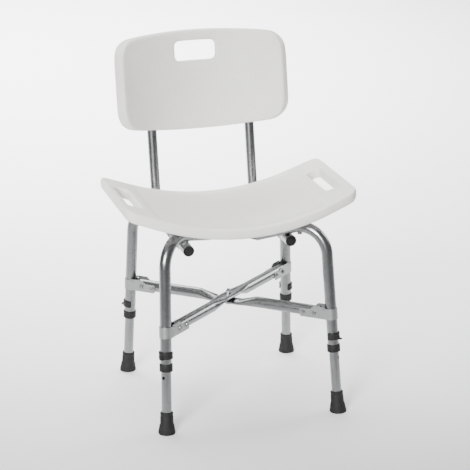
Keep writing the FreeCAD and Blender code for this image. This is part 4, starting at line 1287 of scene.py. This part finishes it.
@dataclass(frozen=True)
class BracketShape:
    """Sizes of the stamped brackets, from the leg axis along the brace."""

    tube: float = 12.7
    gap: float = 0.1
    sheet: float = 1.6
    reach: float = 71.0
    step: float = 40.0
    drop: float = 12.5
    high: float = 27.5
    end_high: float = 19.0
    band: float = 25.0
    holes: tuple[float, float] = (36.0, 63.0)
    bolt_hole: float = 3.2
    rivet_hole: float = 1.6
    brace_height: float = 228.0

    def base(self, leg: Leg) -> Matrix:
        """Matrix at a brace end: +X along the brace and +Y across the ears.

        Args:
            leg: the leg.

        Returns:
            The matrix.
        """
        side = leg.axis.cross(leg.inward).normalized()
        toward = leg.inward.normalized()
        up = toward.cross(side)
        turn = Matrix((toward, side, up)).transposed().to_4x4()
        return Matrix.Translation(leg.point(self.brace_height)) @ turn

    def ear_outline(self) -> list[tuple[float, float]]:
        """Corners of an ear, along the brace and up.

        Returns:
            The points, in millimetres.
        """
        low, top, end = -self.drop, self.high - self.drop, self.end_high - self.drop
        raw = [(9.0, low, 2.0), (self.reach, low, 4.5), (self.reach, end, 4.5), (self.step + 5.0, end, 4.0),
               (self.step - 1.5, top, 4.0), (9.0, top, 2.5)]
        points = []
        count = len(raw)
        for k, (x, z, radius) in enumerate(raw):
            corner = Vector((x, z))
            before = (Vector(raw[k - 1][:2]) - corner).normalized()
            after = (Vector(raw[(k + 1) % count][:2]) - corner).normalized()
            for step in range(6):
                t = step / 5
                spot = (corner + before * radius * (1 - t) ** 2 + after * radius * t ** 2)
                points.append((spot.x, spot.y))
        return points

    def build(self, leg: Leg) -> bpy.types.Object:
        """Stamped bracket: a band round the leg and two ears.

        Args:
            leg: the leg.

        Returns:
            The bracket.
        """
        base = self.base(leg)
        grip = self.tube + self.gap
        outline = self.ear_outline()
        name = f"bracket_{leg.name}"
        piece = None
        for sign in (-1, 1):
            inner, outer = sign * grip, sign * (grip + self.sheet)
            count = len(outline)
            points = [base @ (Vector((x, y, z)) * MM) for y in (inner, outer) for x, z in outline]
            faces = [tuple(range(count)), tuple(range(2 * count - 1, count - 1, -1))]
            faces += [(k, (k + 1) % count, count + (k + 1) % count, count + k) for k in range(count)]
            ear = object_of(name, mesh_from(name, points, faces))
            piece = ear if piece is None else joined_with(piece, ear, "UNION")
        joined_with(piece, object_of("band", self._band(leg)), "UNION")
        across = Matrix.Rotation(math.pi / 2, 4, "X")
        bores = [(along, 0.0, self.bolt_hole, 28) for along in self.holes]
        bores.append((13.0, 10.0, self.rivet_hole, 20))
        for along, up, radius, steps in bores:
            place = base @ Matrix.Translation(Vector((along, 0, up)) * MM) @ across
            bore = lathe_mesh("bore", [(TINY, -30), (radius, -30), (radius, 30), (TINY, 30)], place, steps)
            joined_with(piece, object_of("bore", bore), "DIFFERENCE")
        return softened(rounded(piece, 0.32, 2, 50.0), 40.0)

    def _band(self, leg: Leg) -> bpy.types.Mesh:
        """Half band round the outside of the leg, running into the ears.

        Args:
            leg: the leg.

        Returns:
            The closed mesh.
        """
        along = self.brace_height / leg.axis.z
        place = leg.matrix(along)
        grip, half = self.tube + self.gap, self.band / 2
        sides = [(9.5, -1.0)] + [(None, k / 24) for k in range(25)] + [(9.5, 1.0)]
        points, faces = [], []
        for wide in (grip, grip + self.sheet):
            for level in (-half, half):
                for x, share in sides:
                    if x is not None:
                        points.append(place @ (Vector((x, share * wide, level)) * MM))
                        continue
                    turn = math.radians(270.0 - 180.0 * share)
                    spot = Vector((wide * math.cos(turn), wide * math.sin(turn), level))
                    points.append(place @ (spot * MM))
        count = len(sides)
        for k in range(count - 1):
            a, b, c, d = k, count + k, 2 * count + k, 3 * count + k
            faces += [(a, a + 1, b + 1, b), (c, d, d + 1, c + 1), (a, c, c + 1, a + 1), (b, b + 1, d + 1, d)]
        for k in (0, count - 1):
            faces.append((k, count + k, 3 * count + k, 2 * count + k))
        return mesh_from("band", points, faces)


@dataclass(frozen=True)
class Fastener:
    """Bolt or screw along +Z of a matrix, its head below zero."""

    shank: float
    length: float
    head: float
    head_height: float
    recess: float = 0.0

    def mesh(self, name: str, place: Matrix) -> bpy.types.Mesh:
        """Turned head with a chamfer, an optional recess and a threaded end.

        Args:
            name: name of the mesh.
            place: matrix to the row frame.

        Returns:
            The closed mesh.
        """
        head, high, shank = self.head, self.head_height, self.shank
        outline = [(TINY, -high + self.recess)]
        if self.recess:
            outline += [(head * 0.36, -high + self.recess), (head * 0.42, -high + 0.15)]
        outline += [(head * 0.62, -high), (head * 0.86, -high + 0.35), (head * 0.97, -high * 0.55),
                    (head, -high * 0.28), (head, 0.0), (shank, 0.0)]
        outline += self.thread(self.length - 6.0, self.length)
        outline.append((TINY, self.length))
        return lathe_mesh(name, outline, place, 36)

    def thread(self, low: float, high: float) -> list[tuple[float, float]]:
        """Rings of a thread.

        Args:
            low: start of the thread.
            high: its end.

        Returns:
            Radius and height of each ring.
        """
        rings, spot = [], low
        while spot < high - 1.0:
            rings += [(self.shank, spot), (self.shank - 0.35, spot + 0.5)]
            spot += 1.0
        return rings + [(self.shank, high - 0.8), (self.shank - 0.7, high)]


def nut_mesh(name: str, place: Matrix, reach: float, bore: float, high: float) -> bpy.types.Mesh:
    """Hexagon nut with chamfered corners.

    Args:
        name: name of the mesh.
        place: matrix to the row frame.
        reach: radius to the corners.
        bore: radius of the bore.
        high: height.

    Returns:
        The closed mesh.
    """
    def flats(turn: float, radius: float, height: float) -> float:
        """Pull the round outline in to six flats.

        Args:
            turn: angle round the axis.
            radius: radius of the ring.
            height: height of the ring; not used.

        Returns:
            Change of the radius.
        """
        if radius < bore + 0.5:
            return 0.0
        sector = (turn + math.pi / 6) % (math.pi / 3) - math.pi / 6
        return min(radius, reach * math.cos(math.pi / 6) / math.cos(sector)) - radius

    outline = [(bore, 0.0), (reach * 0.88, 0.0), (reach, 0.6), (reach, high - 0.6), (reach * 0.88, high),
               (bore + 0.5, high), (bore, high - 0.4)]
    return lathe_mesh(name, outline, place, 48, flats)


def gathered(name: str, meshes: Sequence[bpy.types.Mesh]) -> bpy.types.Object:
    """One object from several separate closed meshes.

    Args:
        name: name of the object.
        meshes: the meshes.

    Returns:
        The object.
    """
    work = bmesh.new()
    for mesh in meshes:
        work.from_mesh(mesh)
    whole = bpy.data.meshes.new(name)
    work.to_mesh(whole)
    work.free()
    return softened(object_of(name, whole), 32.0)


@dataclass(frozen=True)
class Fixings:
    """The bolts and nuts of the brackets and of the two crossings."""

    legs: dict[str, Leg]
    bracket: BracketShape
    flat: float = 6.0

    def bracket_bolts(self) -> Pair:
        """Eight bolts with recessed domed heads and eight nuts.

        Returns:
            The bolts and the nuts.
        """
        face = self.bracket.tube + self.bracket.gap + self.bracket.sheet
        bolt = Fastener(3.0, 2 * face + 4.8, 5.4, 3.2, 1.4)
        bolts, nuts = [], []
        lay = Matrix.Rotation(math.radians(-90), 4, "X")
        for leg in self.legs.values():
            for along in self.bracket.holes:
                spot = self.bracket.base(leg) @ Matrix.Translation(Vector((along, -face, 0)) * MM) @ lay
                bolts.append(bolt.mesh("bolt", spot))
                far = spot @ Matrix.Translation(Vector((0, 0, 2 * face + 0.03)) * MM)
                nuts.append(nut_mesh("nut", far, 5.4, 3.02, 3.15))
        return gathered("bracket_bolt_set", bolts), gathered("bracket_nut_set", nuts)

    def crossing(self, word: str, contact: float, nut_high: float, thread: float) -> Pair:
        """Bolt and nut at a crossing, the head below.

        Args:
            word: name of the crossing.
            contact: height at which its tubes meet.
            nut_high: height of the nut.
            thread: bolt past the nut.

        Returns:
            The bolt and the nut.
        """
        low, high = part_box(f"{word}_bolt")
        middle = Vector(((low[0] + high[0]) / 2, (low[1] + high[1]) / 2, 0))
        grip = 2 * self.flat + 0.07
        bolt = Fastener(4.0, 2 * grip + nut_high + thread - 0.2, 6.5, 3.15)
        spot = Matrix.Translation(middle + Vector((0, 0, (contact - grip) * MM)))
        top = Matrix.Translation(middle + Vector((0, 0, (contact + grip) * MM)))
        return (gathered(f"{word}_bolt_piece", [bolt.mesh("bolt", spot)]),
                gathered(f"{word}_nut_piece", [nut_mesh("nut", top, 6.55, 4.03, nut_high - 0.05)]))


# Studio -------------------------------------------------------------------------------------------


@dataclass(frozen=True)
class Lamp:
    """Soft area light: places in metres, power in watts, beam in degrees."""

    name: str
    place: tuple[float, float, float]
    target: tuple[float, float, float]
    size: float
    power: float
    spread: float


LAMPS = (
    Lamp("key", (-1.9, -2.7, 2.0), (0.0, 0.0, 0.55), 1.3, 20.0, 42.0),
    Lamp("side", (2.4, 0.6, 1.5), (0.0, 0.0, 0.4), 1.2, 5.0, 60.0),
    Lamp("top", (0.0, 1.4, 2.9), (0.0, 1.6, 0.0), 2.4, 50.0, 80.0),
    Lamp("rear", (0.0, 4.2, 3.2), (0.0, 4.2, 0.0), 4.0, 560.0, 120.0),
)


@dataclass(frozen=True)
class Studio:
    """Pale floor, soft lights and the camera."""

    ambient: float = 0.30
    floor_half: float = 6.0
    camera_place: tuple[float, float, float] = (-1.0550, -3.8521, 1.6580)
    azimuth: float = -15.72
    elevation: float = 17.93
    roll: float = -0.80
    lens_mm: float = 140.19702

    def build(self, floor_finish: bpy.types.Material) -> None:
        """Make the floor, the lights and the camera.

        Args:
            floor_finish: material of the floor.
        """
        size = self.floor_half
        mesh = mesh_from("floor", [(-size, -size, 0), (size, -size, 0), (size, size, 0), (-size, size, 0)],
                         [(0, 1, 2, 3)])
        floor = object_of("floor", mesh)
        floor.data.materials.append(floor_finish)
        world = bpy.data.worlds.new("studio")
        bpy.context.scene.world = world
        world.use_nodes = True
        backdrop = world.node_tree.nodes["Background"]
        backdrop.inputs["Color"].default_value = (1.0, 1.0, 1.0, 1.0)
        backdrop.inputs["Strength"].default_value = self.ambient
        for spec in LAMPS:
            self.lamp(spec)
        self.camera()

    @staticmethod
    def lamp(spec: Lamp) -> None:
        """One soft area light.

        Args:
            spec: where it stands and how bright it is.
        """
        light = bpy.data.lights.new(spec.name, "AREA")
        light.size = spec.size
        light.energy = spec.power
        light.spread = math.radians(spec.spread)
        lamp = bpy.data.objects.new(spec.name, light)
        lamp.location = spec.place
        aim = Vector(spec.target) - Vector(spec.place)
        lamp.rotation_euler = aim.to_track_quat("-Z", "Y").to_euler()
        bpy.context.scene.collection.objects.link(lamp)

    def camera(self) -> None:
        """Camera at the viewing angle."""
        a, e, r = (math.radians(v) for v in (self.azimuth, self.elevation, self.roll))
        right = Vector((math.cos(a), math.sin(a), 0))
        back = Vector((math.sin(a) * math.cos(e), -math.cos(a) * math.cos(e), math.sin(e)))
        up = back.cross(right)
        across = right * math.cos(r) + up * math.sin(r)
        above = up * math.cos(r) - right * math.sin(r)
        data = bpy.data.cameras.new("camera")
        data.sensor_width = SENSOR_WIDTH
        data.lens = self.lens_mm
        data.clip_end = 50.0
        camera = bpy.data.objects.new("camera", data)
        turn = Matrix((across, above, back)).transposed().to_4x4()
        camera.matrix_world = Matrix.Translation(Vector(self.camera_place)) @ turn
        bpy.context.scene.collection.objects.link(camera)
        bpy.context.scene.camera = camera


def main() -> None:
    """Build the chair piece by piece."""
    logging.basicConfig(level=logging.INFO, format="%(name)s: %(message)s")
    finishes = Finishes()
    bracket = BracketShape()
    legs = read_legs(bracket.brace_height)
    middle = sum((leg.foot for leg in legs.values()), Vector()) / len(legs)
    shop = Workshop()
    shop.hand_over(SeatShell(legs).build(), finishes.seat, "chair_frame", Slot.SHELL, "seat")
    shop.hand_over(BackShell(middle).build(), finishes.back, "backrest", Slot.SHELL, "back_panel")
    collar = CollarShape()
    for name, leg in legs.items():
        shop.hand_over(foot_tip(leg, TipShape()), finishes.rubber, f"leg_{name}", Slot.RUBBER,
                       f"foot_tip_{name}")
        shop.hand_over(collar.collar(leg), finishes.nylon, "chair_frame", Slot.NYLON, f"leg_collar_{name}")
        shop.hand_over(collar.clip(leg), finishes.nylon, f"clip_{name}", Slot.NYLON, f"leg_clip_{name}")
        shop.hand_over(bracket.build(leg), finishes.sheet, "chair_frame", Slot.SHEET,
                       f"brace_bracket_{name}")
    for name in ("left", "right"):
        shop.hand_over(socket_plug(name), finishes.nylon, "chair_frame", Slot.NYLON, f"socket_plug_{name}")
    fixings = Fixings(legs, bracket)
    bolts, nuts = fixings.bracket_bolts()
    shop.hand_over(bolts, finishes.steel, "chair_frame", Slot.STEEL, "bracket_bolts")
    shop.hand_over(nuts, finishes.steel, "chair_frame", Slot.STEEL, "bracket_nuts")
    for word, *sizes in CROSSINGS:
        bolt, nut = fixings.crossing(word, *sizes)
        shop.hand_over(bolt, finishes.steel, "chair_frame", Slot.STEEL, f"{word}_bolt")
        shop.hand_over(nut, finishes.steel, "chair_frame", Slot.STEEL, f"{word}_nut")
    kept = {"leg_frame": finishes.tube, "leg_ext": finishes.tube, "brace_upper": finishes.tube,
            "brace_lower": finishes.tube, "socket_tube": finishes.tube, "back_tube": finishes.tube,
            "socket_straps": finishes.sheet, "extension_glide": finishes.glide}
    for node, piece in frame["nodes"].items():
        if piece.hide_render:
            continue
        finish = next((f for start, f in kept.items() if node.startswith(start)), finishes.steel)
        shop.carry(node, finish)
    Studio().build(finishes.floor)


if __name__ == "__main__":
    main()
